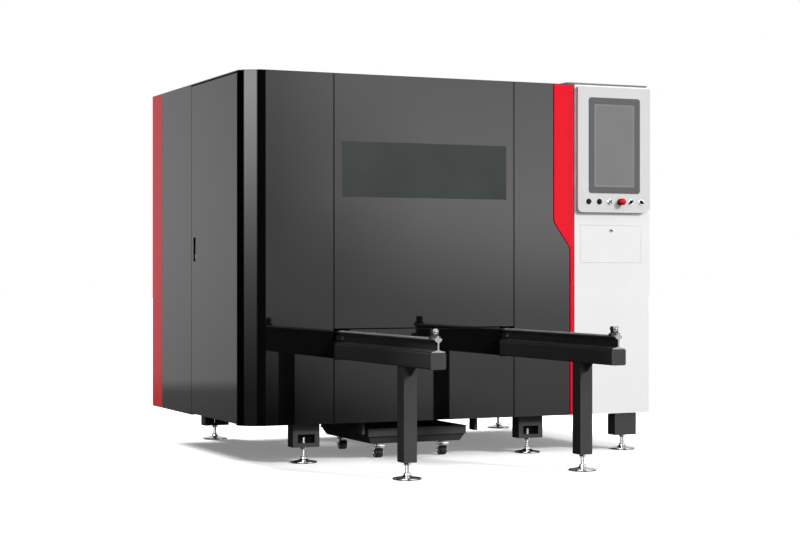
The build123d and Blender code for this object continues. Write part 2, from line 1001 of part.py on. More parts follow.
# Lift door
def make_lift_door():
    """Door tray with a rebate behind the window, guide shoes and two lugs for the rods."""
    door = front_tray(door_left, door_right, door_bottom, body_top, door_depth)
    frame = bar(
        window_left - window_rim,
        window_right + window_rim,
        skin,
        window_thickness + 6,
        window_bottom - window_rim,
        window_top + window_rim,
    )
    door += frame
    door -= bar(window_left, window_right, -1, window_thickness, window_bottom, window_top)
    ledge = window_ledge
    door -= bar(
        window_left + ledge,
        window_right - ledge,
        -1,
        window_thickness + 7,
        window_bottom + ledge,
        window_top - ledge,
    )
    bay_left = seam_left - 5
    for z0 in shoe_z:
        for side in (0, 1):
            gap = slide_clearance
            x0 = bay_left + gap
            shoe = bar(
                x0,
                bay_left + guide_bar + shoe_wall,
                door_depth,
                guide_bar_front + guide_bar + shoe_wall,
                z0,
                z0 + shoe_height,
            )
            shoe += bar(
                door_left + skin,
                bay_left + guide_bar + shoe_wall,
                skin,
                door_depth + 1,
                z0,
                z0 + shoe_height,
            )
            shoe -= bar(
                bay_left - 1,
                bay_left + guide_bar + gap,
                guide_bar_front - gap,
                guide_bar_front + guide_bar + gap,
                z0 - 1,
                z0 + shoe_height + 1,
            )
            top = z0 + shoe_height + 1
            shoe -= bar(bay_left - 1, door_left, door_depth - 1, door_depth + 3, z0 - 1, top)
            if side:
                shoe = mirror(shoe, Plane.YZ.offset(bay_centre))
            door += shoe
    for x in cylinder_x():
        door += bar(
            x - rod_radius - 7,
            x + rod_radius + 7,
            skin,
            cylinder_y + rod_radius + 7,
            rod_bottom - lug_height,
            rod_bottom,
        )
    return door


def cylinder_x():
    return [seam_left + cylinder_inset, seam_right - cylinder_inset]


def make_cylinders():
    barrels = []
    for x in cylinder_x():
        barrel = bar(
            x - cylinder_half_width,
            x + cylinder_half_width,
            cylinder_y - cylinder_half_width,
            cylinder_y + cylinder_half_width,
            cylinder_bottom,
            cylinder_top,
        )
        bore = rod_radius + cylinder_wall_gap
        depth = cylinder_top - cylinder_cap - cylinder_bottom
        barrel -= rod(x, cylinder_y, cylinder_bottom - 1, bore, depth + 1, "z")
        barrels.append(barrel)
    return barrels


def make_cylinder_rods():
    rods = []
    for x in cylinder_x():
        length = cylinder_bottom - rod_bottom + rod_overlap
        rods.append(rod(x, cylinder_y, rod_bottom, rod_radius, length, "z"))
    return rods


def make_door_guides():
    guides = []
    y0 = guide_bar_front
    for x0 in (seam_left - 5, seam_right + 5 - guide_bar):
        guides.append(bar(x0, x0 + guide_bar, y0, y0 + guide_bar, guide_bar_bottom, cylinder_top))
    return guides


# Side door
def make_side_door():
    door = left_tray(side_door_front, side_door_rear, side_door_bottom, side_door_top, side_door_depth)
    block = pivot_inset - skin
    for z0, stub in ((side_door_bottom, -1), (side_door_top, 1)):
        low = z0 if stub < 0 else z0 - 30
        door += bar(
            skin, pivot_inset + block, side_door_front, pivot_y + block, low, low + 30
        )
        length = side_door_end_gap + lug_thickness - 8
        start = z0 - length if stub < 0 else z0
        door += rod(pivot_inset, pivot_y, start, pivot_radius, length, "z")
    y1 = side_door_rear - handle_rear_inset
    door -= bar(-1, skin + 1, y1 - handle_width, y1, handle_bottom, handle_bottom + handle_height)
    return door


def make_handle_housing():
    """Recessed cup of the door handle."""
    y1 = side_door_rear - handle_rear_inset
    y0 = y1 - handle_width
    z0 = handle_bottom
    z1 = handle_bottom + handle_height
    wall = handle_wall
    cup = bar(0, handle_depth, y0, y1, z0, z1)
    cup += bar(skin, skin + wall, y0 - 6, y1 + 6, z0 - 6, z1 + 6)
    cup -= bar(-1, handle_depth - wall, y0 + wall, y1 - wall, z0 + wall, z1 - wall)
    pin_z = z0 + lever_pin_height
    pin_length = handle_width - 2 * wall + 2
    cup += rod(handle_depth / 2, y0 + wall - 1, pin_z, lever_pin_radius, pin_length, "y")
    return cup


def make_handle_lever():
    """Pull lever in the cup, on a pin near its lower end."""
    y1 = side_door_rear - handle_rear_inset
    middle = y1 - handle_width / 2
    half = handle_width / 2 - handle_wall - 3
    z0 = handle_bottom + handle_wall + 2
    z1 = handle_bottom + handle_height - handle_wall - handle_finger_gap
    x0 = handle_depth / 2 - lever_thickness / 2
    lever = bar(x0, x0 + lever_thickness, middle - half, middle + half, z0 + 2, z1)
    pin_z = handle_bottom + lever_pin_height
    boss = rod(handle_depth / 2, middle - half, pin_z, lever_pin_radius + 3, 2 * half, "y")
    lever += boss
    bore = lever_pin_radius + pivot_clearance
    lever -= rod(handle_depth / 2, middle - half - 1, pin_z, bore, 2 * half + 2, "y")
    return lever


# Table rails outside and inside the body
def rail_profile():
    """Half-round headed rail section, drawn in x and z with its foot at zero."""
    foot = rail_foot_width / 2
    web = rail_web / 2
    head = rail_head_width / 2
    head_low = rail_height - rail_head_depth
    top_drop = 5.0
    right = [
        (foot, 0),
        (foot, rail_foot_edge),
        (foot * 0.5, rail_foot_edge + 3.5),
        (web, rail_foot_rise),
        (web, head_low - 4),
        (head - 5, head_low + 3),
        (head, head_low + 8),
        (head, rail_height - top_drop),
    ]
    left = [(-x, z) for x, z in reversed(right)]
    crown = ThreePointArc((head, rail_height - top_drop), (0, rail_height), (-head, rail_height - top_drop))
    lines = [Polyline(*right), crown, Polyline(*left), Line(left[-1], right[0])]
    edges = []
    for line in lines:
        edges += line.edges()
    return make_face(edges)


def make_rails():
    rails = []
    for x in rail_x:
        for y0, y1 in ((-rail_reach, 0), (0, inner_rail_end)):
            section = Pos(x, beam_top) * rail_profile()
            rails.append(front_sheet(section, y0, y1 - y0))
    return rails


def make_rail_beams():
    """Square tubes that carry the outer rails, closed by an end plate."""
    beams = []
    for x in rail_x:
        z = beam_bottom + beam_size / 2
        outer = Pos(x, z) * RectangleRounded(beam_size, beam_size, beam_corner)
        inside = beam_size - 2 * beam_wall
        inner = Pos(x, z) * Rectangle(inside, inside)
        beam = front_sheet(outer, -rail_reach, rail_reach)
        beam -= front_sheet(inner, -rail_reach + end_cap, rail_reach)
        beams.append(beam)
    return beams


def make_rail_posts():
    """Posts with a top plate, a foot plate and a gusset in front and behind."""
    posts = []
    foot_z = body_bottom - foot_box_height
    for x in rail_x:
        half_x = post_width / 2
        half_y = post_depth / 2
        wall = post_wall
        post = bar(x - half_x, x + half_x, post_y - half_y, post_y + half_y, foot_z, beam_bottom)
        post -= bar(
            x - half_x + wall,
            x + half_x - wall,
            post_y - half_y + wall,
            post_y + half_y - wall,
            foot_z + post_plate,
            beam_bottom - post_plate,
        )
        post -= rod(x, post_y, foot_z - 1, stud_radius + stud_clearance, post_plate + 2, "z")
        for side in (-1, 1):
            y0 = post_y + side * half_y
            outline = polygon(
                [
                    (y0, beam_bottom),
                    (y0 + side * gusset_leg, beam_bottom),
                    (y0 + side * gusset_leg, beam_bottom - 6),
                    (y0 + side * 6, beam_bottom - gusset_drop),
                    (y0, beam_bottom - gusset_drop),
                ]
            )
            plate = extrude(Plane.YZ.offset(x - gusset_thickness / 2) * outline, gusset_thickness)
            post += plate
        posts.append(post)
    return posts


def splice_z():
    """Height of the middle of the splice bars on the rail's web."""
    return beam_top + (rail_foot_rise + rail_height - rail_head_depth - 4) / 2


def make_splices():
    """Flat bars either side of the web where the outer rail meets the inner one."""
    bars = []
    half = splice_height / 2
    for x in rail_x:
        for side in (-1, 1):
            x0 = x + side * rail_web / 2
            x1 = x0 + side * splice_thickness
            bars.append(
                bar(
                    min(x0, x1),
                    max(x0, x1),
                    -splice_length / 2,
                    splice_length / 2,
                    splice_z() - half,
                    splice_z() + half,
                )
            )
    return bars


def make_end_stops():
    """Stop blocks clamped round the rail heads, each with its buffer bolt."""
    blocks = []
    for x in rail_x:
        y0 = -rail_reach + stop_back
        block = bar(
            x - stop_width / 2, x + stop_width / 2, y0, y0 + stop_depth, rail_top, rail_top + stop_height
        )
        block += bar(
            x - rail_head_width / 2 - 6,
            x + rail_head_width / 2 + 6,
            y0,
            y0 + stop_depth,
            rail_top - 6,
            rail_top + 8,
        )
        section = Pos(x, beam_top) * rail_profile()
        block -= front_sheet(section, y0 - 1, stop_depth + 2)
        flats = bolt_head_radius * math.sqrt(3)
        z = rail_top + stop_bolt_height
        block += hexagon(x, y0 - bolt_head_height, z, flats, bolt_head_height, "y")
        block += hexagon(x, y0 + stop_depth, z, flats, bolt_head_height, "y")
        block += rod(x, y0 + stop_depth, z, stop_bolt_radius, stop_bolt_reach, "y")
        blocks.append(block)
    return blocks


def make_bolts():
    """Heads of the end screws on the rails and of the splice bolts."""
    bolts = []
    flats = bolt_head_radius * math.sqrt(3)
    for x in rail_x:
        y0 = -rail_reach + end_screw_inset
        bolts.append(hexagon(x, y0, rail_top, flats, bolt_head_height, "z"))
        reach = rail_web / 2 + splice_thickness
        for side in (-1, 1):
            for y in (-splice_length / 3, splice_length / 3):
                x0 = x + side * reach
                start = x0 if side > 0 else x0 - bolt_head_height
                bolts.append(hexagon(start, y, splice_z(), flats, bolt_head_height, "x"))
    return bolts


# Levelling feet under the leg boxes and under the posts
def foot_places():
    places = []
    for x in gantry_rail_x:
        for y in (front_foot_y, rear_foot_y):
            places.append((x, y, foot_box_base))
    places.append((column_foot_x, column_foot_y, foot_box_base))
    places.append((column_foot_x, rear_foot_y, foot_box_base))
    for x in rail_x:
        places.append((x, post_y, post_plate))
    return places


def make_levelling_feet():
    """Steel discs, each turned to a low cone, with its stud and the lock nut under the leg."""
    feet = []
    plate_z = body_bottom - foot_box_height
    for x, y, plate in foot_places():
        top = plate_z + plate + stud_rise
        sketch = make_face(
            Polyline(
                (0, 0),
                (foot_disc_radius, 0),
                (stud_radius, foot_disc_height),
                (stud_radius, top),
                (0, top),
                close=True,
            )
        )
        foot = Pos(x, y, 0) * revolve(Plane.XZ * sketch, Axis.Z)
        foot += hexagon(x, y, plate_z - nut_height, nut_across_flats, nut_height, "z")
        feet.append(foot)
    return feet


# Worktable
def make_table_frame():
    inner_left = table_left + table_side_width
    inner_right = table_right - table_side_width
    frame = bar(table_left, inner_left, table_front, table_rear, table_bottom, table_top)
    frame += bar(inner_right, table_right, table_front, table_rear, table_bottom, table_top)
    for y0 in (table_front, table_rear - table_side_width):
        frame += bar(table_left, table_right, y0, y0 + table_side_width, table_bottom, table_top)
    ledge_top = table_bottom + ledge_thickness
    for x0 in (inner_left, inner_right - ledge_width):
        frame += bar(x0, x0 + ledge_width, table_front, table_rear, table_bottom, ledge_top)
    for x, side in ((rail_x[0], -1), (rail_x[1], 1)):
        outer = x + side * (wheel_groove / 2 + wheel_flange_width + running_gap)
        root = table_left if side < 0 else table_right
        cap_end = outer + side * axle_cap
        for y in wheel_y:
            start = min(root, outer)
            frame += rod(start, y, wheel_z, axle_radius, abs(root - outer), "x")
            frame += hexagon(min(outer, cap_end), y, wheel_z, axle_cap_flats, axle_cap, "x")
    return frame


def slat_outline():
    """Long slat with a row of points along its top edge."""
    left = table_left + table_side_width + slide_clearance
    right = table_right - table_side_width - slide_clearance
    low = table_bottom + ledge_thickness
    high = low + slat_height
    count = int((right - left) // tooth_pitch)
    pitch = (right - left) / count
    points = [(left, low), (right, low)]
    for tooth in range(count, 0, -1):
        x = left + tooth * pitch
        points.append((x, high - tooth_depth))
        points.append((x - pitch / 2, high))
    points.append((left, high - tooth_depth))
    return polygon(points)


def make_slats():
    first = table_front + table_side_width + slat_pitch / 2
    last = table_rear - table_side_width - slat_pitch / 2
    count = int((last - first) // slat_pitch) + 1
    outline = slat_outline()
    slats = []
    for row in range(count):
        y0 = first + row * slat_pitch
        slats.append(front_sheet(outline, y0, slat_thickness))
    return slats


def make_table_wheel(x, y):
    """Track wheel whose single flange runs along the inner side of the rail's head."""
    half = wheel_groove / 2
    flange = half + wheel_flange_width
    outer = half + wheel_flange_width
    bore = axle_radius + axle_clearance
    sketch = make_face(
        Polyline(
            (bore, -outer),
            (wheel_tread_radius, -outer),
            (wheel_tread_radius, half),
            (wheel_flange_radius, half + wheel_flange_slope),
            (wheel_flange_radius, flange),
            (bore, flange),
            close=True,
        )
    )
    turned = revolve(Plane.XZ * sketch, Axis.Z)
    side = 1 if x < bay_centre else -1
    return Pos(x, y, wheel_z) * Rotation(0, 90 * side, 0) * turned


# Gantry
def make_gantry_guides():
    """Linear rails on the bed's side beams, with the racks beside them."""
    guides = []
    for x, side in ((gantry_rail_x[0], 1), (gantry_rail_x[1], -1)):
        half = guide_rail_width / 2
        y0 = bed_front + 20
        y1 = bed_rear - 5
        guides.append(bar(x - half, x + half, y0, y1, bed_top, bed_top + guide_rail_height))
        x0 = x + side * (bed_side_width / 2 - rack_width)
        x1 = x0 + side * rack_width
        guides.append(bar(min(x0, x1), max(x0, x1), y0, y1, bed_top, bed_top + rack_height))
    return guides


def make_gantry_beam():
    """Hollow beam with end plates, bearing blocks and two guide rails on its front."""
    y1 = gantry_y + gantry_depth
    z1 = gantry_bottom + gantry_height
    beam = bar(gantry_left, gantry_right, gantry_y, y1, gantry_bottom, z1)
    wall = gantry_wall
    beam -= bar(
        gantry_left + wall,
        gantry_right - wall,
        gantry_y + wall,
        y1 - wall,
        gantry_bottom + wall,
        z1 - wall,
    )
    for x in gantry_rail_x:
        for y0 in (gantry_y, y1 - block_length):
            block = bar(
                x - block_width / 2,
                x + block_width / 2,
                y0,
                y0 + block_length,
                bed_top + 6,
                gantry_bottom,
            )
            gap = slide_clearance
            half = guide_rail_width / 2 + gap
            block -= bar(x - half, x + half, y0 - 1, y1 + 1, bed_top, gantry_rail_top + gap)
            beam += block
    half = guide_rail_width / 2
    y0 = gantry_y - guide_rail_width
    for z in carriage_rail_z:
        beam += bar(gantry_left + 60, gantry_right - 60, y0, gantry_y, z - half, z + half)
    for motor in make_gantry_motors():
        beam += motor
    return beam


def make_gantry_motors():
    """Drive motors standing on the gantry's ends, each stepped in at its brake."""
    motors = []
    z0 = gantry_bottom + gantry_height
    z1 = z0 + motor_length
    y = gantry_y + gantry_depth / 2
    half = motor_size / 2
    brake = half - motor_step
    for x in gantry_rail_x:
        motor = bar(x - half, x + half, y - half, y + half, z0, z1)
        motor = chamfer(motor.edges().filter_by(Axis.Z), motor_step)
        motor += bar(x - brake, x + brake, y - brake, y + brake, z1, z1 + brake_length)
        motors.append(motor)
    return motors


def make_carriage():
    """Carriage plate with grooves over the two guide rails and a motor on top."""
    gap = slide_clearance
    x0 = bay_centre - carriage_width / 2
    x1 = bay_centre + carriage_width / 2
    z0 = gantry_bottom - 20
    z1 = z0 + carriage_height
    plate = bar(x0, x1, carriage_y, gantry_y - gap, z0, z1)
    half = guide_rail_width / 2 + gap
    for z in carriage_rail_z:
        plate -= bar(x0 - 1, x1 + 1, gantry_y - guide_rail_width - gap, gantry_y, z - half, z + half)
    half_motor = motor_size / 2
    plate += bar(
        bay_centre - half_motor,
        bay_centre + half_motor,
        carriage_y,
        carriage_y + 2 * carriage_thickness,
        z1,
        z1 + motor_length,
    )
    for side in (-1, 1):
        rail_mid = bay_centre + side * carriage_width / 4
        half_rail = guide_rail_width / 2
        plate += bar(
            rail_mid - half_rail, rail_mid + half_rail, carriage_y - half_rail, carriage_y, z0, z1
        )
    return plate


def make_cutting_head():
    """Slide plate and head body, stepped down to a neck."""
    gap = slide_clearance
    x0 = bay_centre - carriage_width / 2
    x1 = bay_centre + carriage_width / 2
    plate_front = carriage_y - 25
    plate_z0 = gantry_bottom + 5
    plate_z1 = plate_z0 + head_plate_height
    head = bar(x0, x1, plate_front, carriage_y - gap, plate_z0, plate_z1)
    half_rail = guide_rail_width / 2
    for side in (-1, 1):
        rail_mid = bay_centre + side * carriage_width / 4
        head -= bar(
            rail_mid - half_rail - gap,
            rail_mid + half_rail + gap,
            carriage_y - half_rail - gap,
            carriage_y,
            plate_z0 - 1,
            plate_z1 + 1,
        )
    head_y = plate_front - head_radius
    head += bar(
        bay_centre - head_radius,
        bay_centre + head_radius,
        head_y,
        plate_front,
        plate_z0 + head_clamp_rise,
        plate_z0 + head_clamp_rise + head_clamp_height,
    )
    head += rod(bay_centre, head_y, head_body_bottom + 40, head_radius, head_length, "z")
    neck_bottom = nozzle_tip_z + nozzle_length
    head += rod(bay_centre, head_y, neck_bottom, head_neck_radius, head_body_bottom + 40 - neck_bottom, "z")
    return head


def make_nozzle():
    """Turned copper nozzle; its gas bore is finer than the part shows."""
    y = carriage_y - 25 - head_radius
    sketch = make_face(
        Polyline(
            (0, 0),
            (nozzle_tip_radius, 0),
            (nozzle_radius, nozzle_cone),
            (nozzle_radius, nozzle_length),
            (0, nozzle_length),
            close=True,
        )
    )
    return Pos(bay_centre, y, nozzle_tip_z) * revolve(Plane.XZ * sketch, Axis.Z)


# Scrap hopper and cart
def sloped_wall(top, bottom, z_top, z_bottom):
    """Solid between an upper and a lower rectangle, each given as x0, x1, y0, y1."""
    x0, x1, y0, y1 = top
    low_x0, low_x1, low_y0, low_y1 = bottom
    wedge = Wedge(
        x1 - x0,
        z_top - z_bottom,
        y1 - y0,
        low_x0 - x0,
        low_y0 - y0,
        low_x1 - x0,
        low_y1 - y0,
        align=None,
    )
    return Pos(x0, y0, z_top) * Rotation(-90, 0, 0) * wedge


def shrunk(rectangle, amount):
    x0, x1, y0, y1 = rectangle
    return (x0 + amount, x1 - amount, y0 + amount, y1 - amount)


def make_hopper():
    """Funnel of sheet under the table, open above and below, with a hanging flange."""
    top = (
        bed_left + bed_side_width + hopper_top_inset,
        bed_right - bed_side_width - hopper_top_inset,
        hopper_front,
        hopper_rear,
    )
    mouth = (hopper_mouth_left, hopper_mouth_right, hopper_mouth_front, hopper_mouth_rear)
    outer = sloped_wall(top, mouth, hopper_top_z - skin, hopper_bottom_z)
    inner = sloped_wall(shrunk(top, 3), shrunk(mouth, 3), hopper_top_z - skin, hopper_bottom_z)
    funnel = outer - inner
    rim = bar(top[0], top[1], top[2] - 20, top[3] + 20, hopper_top_z - skin, hopper_top_z)
    rim -= bar(top[0] + 3, top[1] - 3, top[2] + 3, top[3] - 3, hopper_top_z - skin - 1, hopper_top_z + 1)
    return funnel + rim


def make_cart_tray():
    """Shallow scrap tray with a proud rim and tapered lower sides."""
    rim = (cart_left, cart_right, cart_front, cart_front + cart_depth)
    waist = shrunk(rim, cart_rim)
    floor = shrunk(rim, cart_taper + cart_rim)
    body = bar(*rim, cart_waist, cart_top)
    body += sloped_wall(waist, floor, cart_waist, cart_bottom)
    sheet = cart_sheet
    body -= bar(*shrunk(waist, sheet), cart_waist, cart_top + 1)
    inner_floor = shrunk(floor, sheet)
    body -= sloped_wall(shrunk(waist, sheet), inner_floor, cart_waist, cart_bottom + sheet)
    rear_y = cart_front + cart_depth - caster_inset_y
    for x in caster_x():
        body += fixed_fork(x, rear_y)
    return body


def caster_x():
    return [cart_left + caster_inset_x, cart_right - caster_inset_x]


def fork_sides(x, axle_y, top):
    """Two cheeks and the axle pin of a caster."""
    reach = caster_wheel_width / 2 + fork_gap
    low = caster_wheel_radius - 8
    parts = None
    for side in (-1, 1):
        x0 = x + side * reach
        x1 = x0 + side * fork_thickness
        cheek = bar(
            min(x0, x1), max(x0, x1), axle_y - fork_width / 2, axle_y + fork_width / 2, low, top
        )
        parts = cheek if parts is None else parts + cheek
    half_pin = reach + fork_thickness
    parts += rod(x - half_pin, axle_y, caster_wheel_radius, caster_pin_radius, 2 * half_pin, "x")
    return parts


def fixed_fork(x, axle_y):
    """Rigid caster fork under the tray."""
    reach = caster_wheel_width / 2 + fork_gap + fork_thickness
    top = cart_bottom + 1
    bridge_z = 2 * caster_wheel_radius + 6
    fork = bar(x - reach, x + reach, axle_y - fork_width / 2, axle_y + fork_width / 2, bridge_z, top)
    return fork + fork_sides(x, axle_y, bridge_z + 1)


def make_swivel_fork(x):
    """Swivelling caster fork under its ball race."""
    y = cart_front + caster_inset_y
    top = cart_bottom - slide_clearance
    race_z = top - caster_race_height
    bridge_z = 2 * caster_wheel_radius + 6
    axle_y = y + caster_trail
    reach = caster_wheel_width / 2 + fork_gap + fork_thickness
    fork = rod(x, y, race_z, caster_race_radius, caster_race_height, "z")
    fork += bar(x - reach, x + reach, y - fork_width / 2, axle_y + fork_width / 2, bridge_z, race_z + 1)
    return fork + fork_sides(x, axle_y, bridge_z + 1)


def make_caster_wheel(x, axle_y):
    start = x - caster_wheel_width / 2
    wheel = rod(start, axle_y, caster_wheel_radius, caster_wheel_radius, caster_wheel_width, "x")
    bore = caster_pin_radius + caster_pin_clearance
    wheel -= rod(x - caster_wheel_width, axle_y, caster_wheel_radius, bore, 2 * caster_wheel_width, "x")
    return wheel


def make_laser_source():
    """Laser source case standing on the cabinet's bottom tubes."""
    x0 = column_left - 11 - tube
    x1 = body_width - panel_depth
    z0 = body_bottom + tube
    case = bar(x0, x1, source_front, source_front + source_depth, z0, z0 + source_height)
    return chamfer(case.edges().filter_by(Axis.Z), source_corner)


def write_parts():
    os.makedirs("parts", exist_ok=True)
    save("bed_frame", make_bed())
    save("enclosure_frame", make_enclosure_frame())
    save("levelling_feet", *make_levelling_feet())
    save("corner_column", make_corner_column())
    left_start = corner_width + corner_gap
    left_panel = front_tray(left_start, seam_left - panel_gap / 2, body_bottom, skin_top)
    save("front_left_panel", left_panel)
    save("front_right_panel", slanted_panel(-panel_gap / 2, seam_right + panel_gap / 2))
    save("red_front_band", slanted_panel(panel_gap / 2, column_left - panel_gap / 2))
    save("lower_front_panel", make_lower_front_panel())
    save("roof_panel", make_roof())
    rear_start = side_seam + panel_gap / 2
    rear_end = body_depth - red_trim_width - panel_gap / 2 + 1
    save("left_rear_panel", left_tray(rear_start, rear_end, body_bottom, skin_top))
    right_panel = left_tray(column_depth + panel_gap, rear_end, body_bottom, skin_top)
    save("right_side_panel", mirrored_right(right_panel))
    save("red_rear_trims", *make_red_trims())
    save("rear_panels", *make_rear_panels())
    save("column_shell", make_column_shell())
    cap = bar(cap_left, cap_right, cap_front, cap_front + cap_depth, body_top, body_top + cap_thickness)
    save("column_cap", cap)
    save("monitor_housing", make_monitor_housing())
    save("monitor_bezel", make_bezel())
    save("touch_screen", make_touch_screen())
    save("start_button", make_push_button(0))
    save("pause_button", make_push_button(1))
    save("key_switch", make_selector(2))
    save("emergency_stop", make_emergency_stop(3))
    save("mode_selector", make_selector(4))
    save("light_selector", make_selector(5))
    save("keyboard_flap", make_flap())
    save("flap_lock", make_flap_lock())
    save("lift_door", make_lift_door())
    pane = bar(window_left, window_right, 0, window_thickness, window_bottom, window_top)
    save("door_window", pane)
    save("door_guides", *make_door_guides())
    save("door_cylinders", *make_cylinders())
    save("cylinder_rods", *make_cylinder_rods())
    save("side_door", make_side_door())
    save("handle_housing", make_handle_housing())
    save("handle_lever", make_handle_lever())
    save("table_rails", *make_rails())
    save("rail_beams", *make_rail_beams())
    save("rail_posts", *make_rail_posts())
    save("rail_splices", *make_splices())
    save("rail_end_stops", *make_end_stops())
    save("fasteners", *make_bolts())
    save("table_frame", make_table_frame())
    save("table_slats", *make_slats())
    for x, side in ((rail_x[0], "left"), (rail_x[1], "right")):
        for y, end in ((wheel_y[0], "front"), (wheel_y[1], "rear")):
            save(f"table_wheel_{end}_{side}", make_table_wheel(x, y))
    save("gantry_guides", *make_gantry_guides())
    save("gantry_beam", make_gantry_beam())
    save("head_carriage", make_carriage())
    save("cutting_head", make_cutting_head())
    save("cutting_nozzle", make_nozzle())
    save("scrap_hopper", make_hopper())
    save("scrap_cart", make_cart_tray())
    front_axle_y = cart_front + caster_inset_y + caster_trail
    rear_axle_y = cart_front + cart_depth - caster_inset_y
    for x, side in zip(caster_x(), ("left", "right")):
        save(f"swivel_fork_{side}", make_swivel_fork(x))
        save(f"cart_wheel_front_{side}", make_caster_wheel(x, front_axle_y))
        save(f"cart_wheel_rear_{side}", make_caster_wheel(x, rear_axle_y))
    save("laser_source", make_laser_source())


write_parts()
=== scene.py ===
import json
import math

import bmesh
import bpy
from mathutils import Matrix, Vector


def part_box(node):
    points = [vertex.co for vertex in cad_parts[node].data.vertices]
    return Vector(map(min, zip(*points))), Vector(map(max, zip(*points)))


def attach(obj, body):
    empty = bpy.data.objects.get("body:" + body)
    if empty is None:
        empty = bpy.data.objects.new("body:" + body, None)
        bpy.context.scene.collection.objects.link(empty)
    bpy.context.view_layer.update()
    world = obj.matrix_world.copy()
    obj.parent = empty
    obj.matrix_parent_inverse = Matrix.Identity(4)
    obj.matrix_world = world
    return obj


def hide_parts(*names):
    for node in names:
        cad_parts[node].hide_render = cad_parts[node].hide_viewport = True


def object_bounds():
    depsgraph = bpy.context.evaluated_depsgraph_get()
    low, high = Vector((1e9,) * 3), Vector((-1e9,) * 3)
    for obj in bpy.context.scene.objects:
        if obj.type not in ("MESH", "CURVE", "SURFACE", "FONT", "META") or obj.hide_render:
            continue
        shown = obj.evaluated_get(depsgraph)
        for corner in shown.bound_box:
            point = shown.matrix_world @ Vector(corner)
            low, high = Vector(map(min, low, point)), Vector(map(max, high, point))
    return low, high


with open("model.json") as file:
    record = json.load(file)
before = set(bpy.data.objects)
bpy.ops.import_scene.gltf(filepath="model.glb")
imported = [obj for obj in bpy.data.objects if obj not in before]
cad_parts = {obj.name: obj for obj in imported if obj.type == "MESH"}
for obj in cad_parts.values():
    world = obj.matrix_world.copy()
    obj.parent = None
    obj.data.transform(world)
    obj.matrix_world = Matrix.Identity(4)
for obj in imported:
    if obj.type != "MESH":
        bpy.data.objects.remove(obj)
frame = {"nodes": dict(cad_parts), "record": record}
cad_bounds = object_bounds()
scene = bpy.context.scene
MM = 0.001

# The machine's left front corner on the floor, from the model's origin
CORNER = Vector((cad_bounds[0][0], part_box("front_left_panel")[0].y, 0.0))

# Camera, at the photograph's viewing angle
CAMERA_PLACE = (-4.2954, -9.10985, 1.0101)
CAMERA_YAW = 24.03
CAMERA_LENS = 81.16
PICTURE_WIDTH = 800
PIXELS_RAISED = 6.2

# Lamps: direction in degrees clockwise from the rear, height, strength and softness
KEY_LAMP = (147, 30, 2.05, 10)
REAR_LAMP = (-20, 40, 4.5, 22)

# Soft light from the upper right, between a dark and a bright side
SOFT_BOX = (0.55, -0.66, 0.5)
SOFT_EDGE = 0.05
SOFT_DARK = 0.03
SOFT_BRIGHT = 1.45

# Floor: how white it is to the camera and to bounced light, and its own faint glow, a painted
# light that is weaker over a rectangle round the machine: a painted shadow near it that fades out
# farther away
FLOOR_REACH = 60.0
FLOOR_WHITE = (0.98, 0.98, 0.98, 1)
FLOOR_BOUNCE = (0.1, 0.1, 0.1, 1)
PAINTED_SHADOW_MIDDLE = (0, 0.61, 0)
PAINTED_SHADOW_HALF = (1.15, 0.8, 0)
GLOW_FROM = 0.1
GLOW_TO = 0.8
GLOW_IN_PAINTED_SHADOW = 0.22
GLOW_OUTSIDE_PAINTED_SHADOW = 0.5

# Walls of the studio, which only reflections show. Each has the two directions between which
# it takes over from the one before, in degrees clockwise from the rear, and its brightness at
# heights above the horizon, in degrees.
CAMERA_WALL = [
    (-6.5, 0.1), (-4, 0.2), (-3.4, 0.29), (-2.1, 0.57), (-0.85, 1.0), (0.4, 1.6), (1.7, 2.5),
    (2.9, 3.8), (4.2, 5.3), (5.9, 7.0), (12, 8.0),
]
WALLS = [
    (-90, -80, [
        (-6.5, 0.2), (-4.5, 0.22), (-3.75, 0.255), (-3.55, 0.42), (-3.4, 0.6), (-2.1, 0.65),
        (-0.9, 0.69), (0.4, 0.73), (2.3, 0.75), (4.2, 0.73), (6, 0.7), (12, 0.68),
    ]),
    (110, 135, [
        (-6.5, 0.8), (-4.42, 1.02), (-3.56, 1.12), (-2.93, 1.17), (-1.34, 1.6), (-0.87, 1.8),
        (-0.23, 2.18), (0.4, 2.62), (1.04, 3.0), (1.67, 3.21), (2.3, 3.3), (3.6, 3.07),
        (4.8, 2.94), (6, 2.75), (12, 2.7),
    ]),
    (151.7, 155.2, [
        (-6.5, 0.3), (-4.42, 0.72), (-4, 0.93), (-3.56, 1.1), (-1.34, 1.32), (-0.87, 1.45),
        (-0.23, 1.77), (0.4, 2.08), (1.04, 2.47), (1.67, 2.79), (2.3, 3.09), (4.2, 2.95),
        (6, 2.75), (12, 2.7),
    ]),
    (155.2, 157.7, [
        (-6.5, 0.1), (-4.42, 0.33), (-3.56, 0.7), (-2.93, 0.94), (-1.34, 1.15), (-0.87, 1.14),
        (-0.23, 1.23), (0.4, 1.37), (1.04, 1.6), (1.67, 1.82), (2.3, 2.14), (4.2, 2.3),
        (6, 2.63), (12, 2.6),
    ]),
    (157.7, 160, [
        (-6.5, 0.04), (-4.42, 0.08), (-3.56, 0.23), (-2.93, 0.41), (-1.34, 1.0), (-0.87, 1.1),
        (1.67, 1.15), (2.3, 1.22), (3.6, 1.41), (4.8, 1.57), (6, 1.85), (12, 1.9),
    ]),
]
WALL_BOTTOM = -6.5
WALL_TOP = 12
WALL_BRIGHTEST = 8.0

# Black flags before the walls: a direction, and how much of the wall shows there
FLAGS = [
    (-180, 0.0), (-158, 0.0), (-153, 1.0), (-106, 1.0), (-103, 0.0), (-52, 0.0), (-42, 1.0),
    (160, 1.0), (164, 0.8), (167, 0.0),
]

FRONT = (0, -1, 0)
REAR = (0, 1, 0)
RIGHT = (1, 0, 0)
UP = (0, 0, 1)


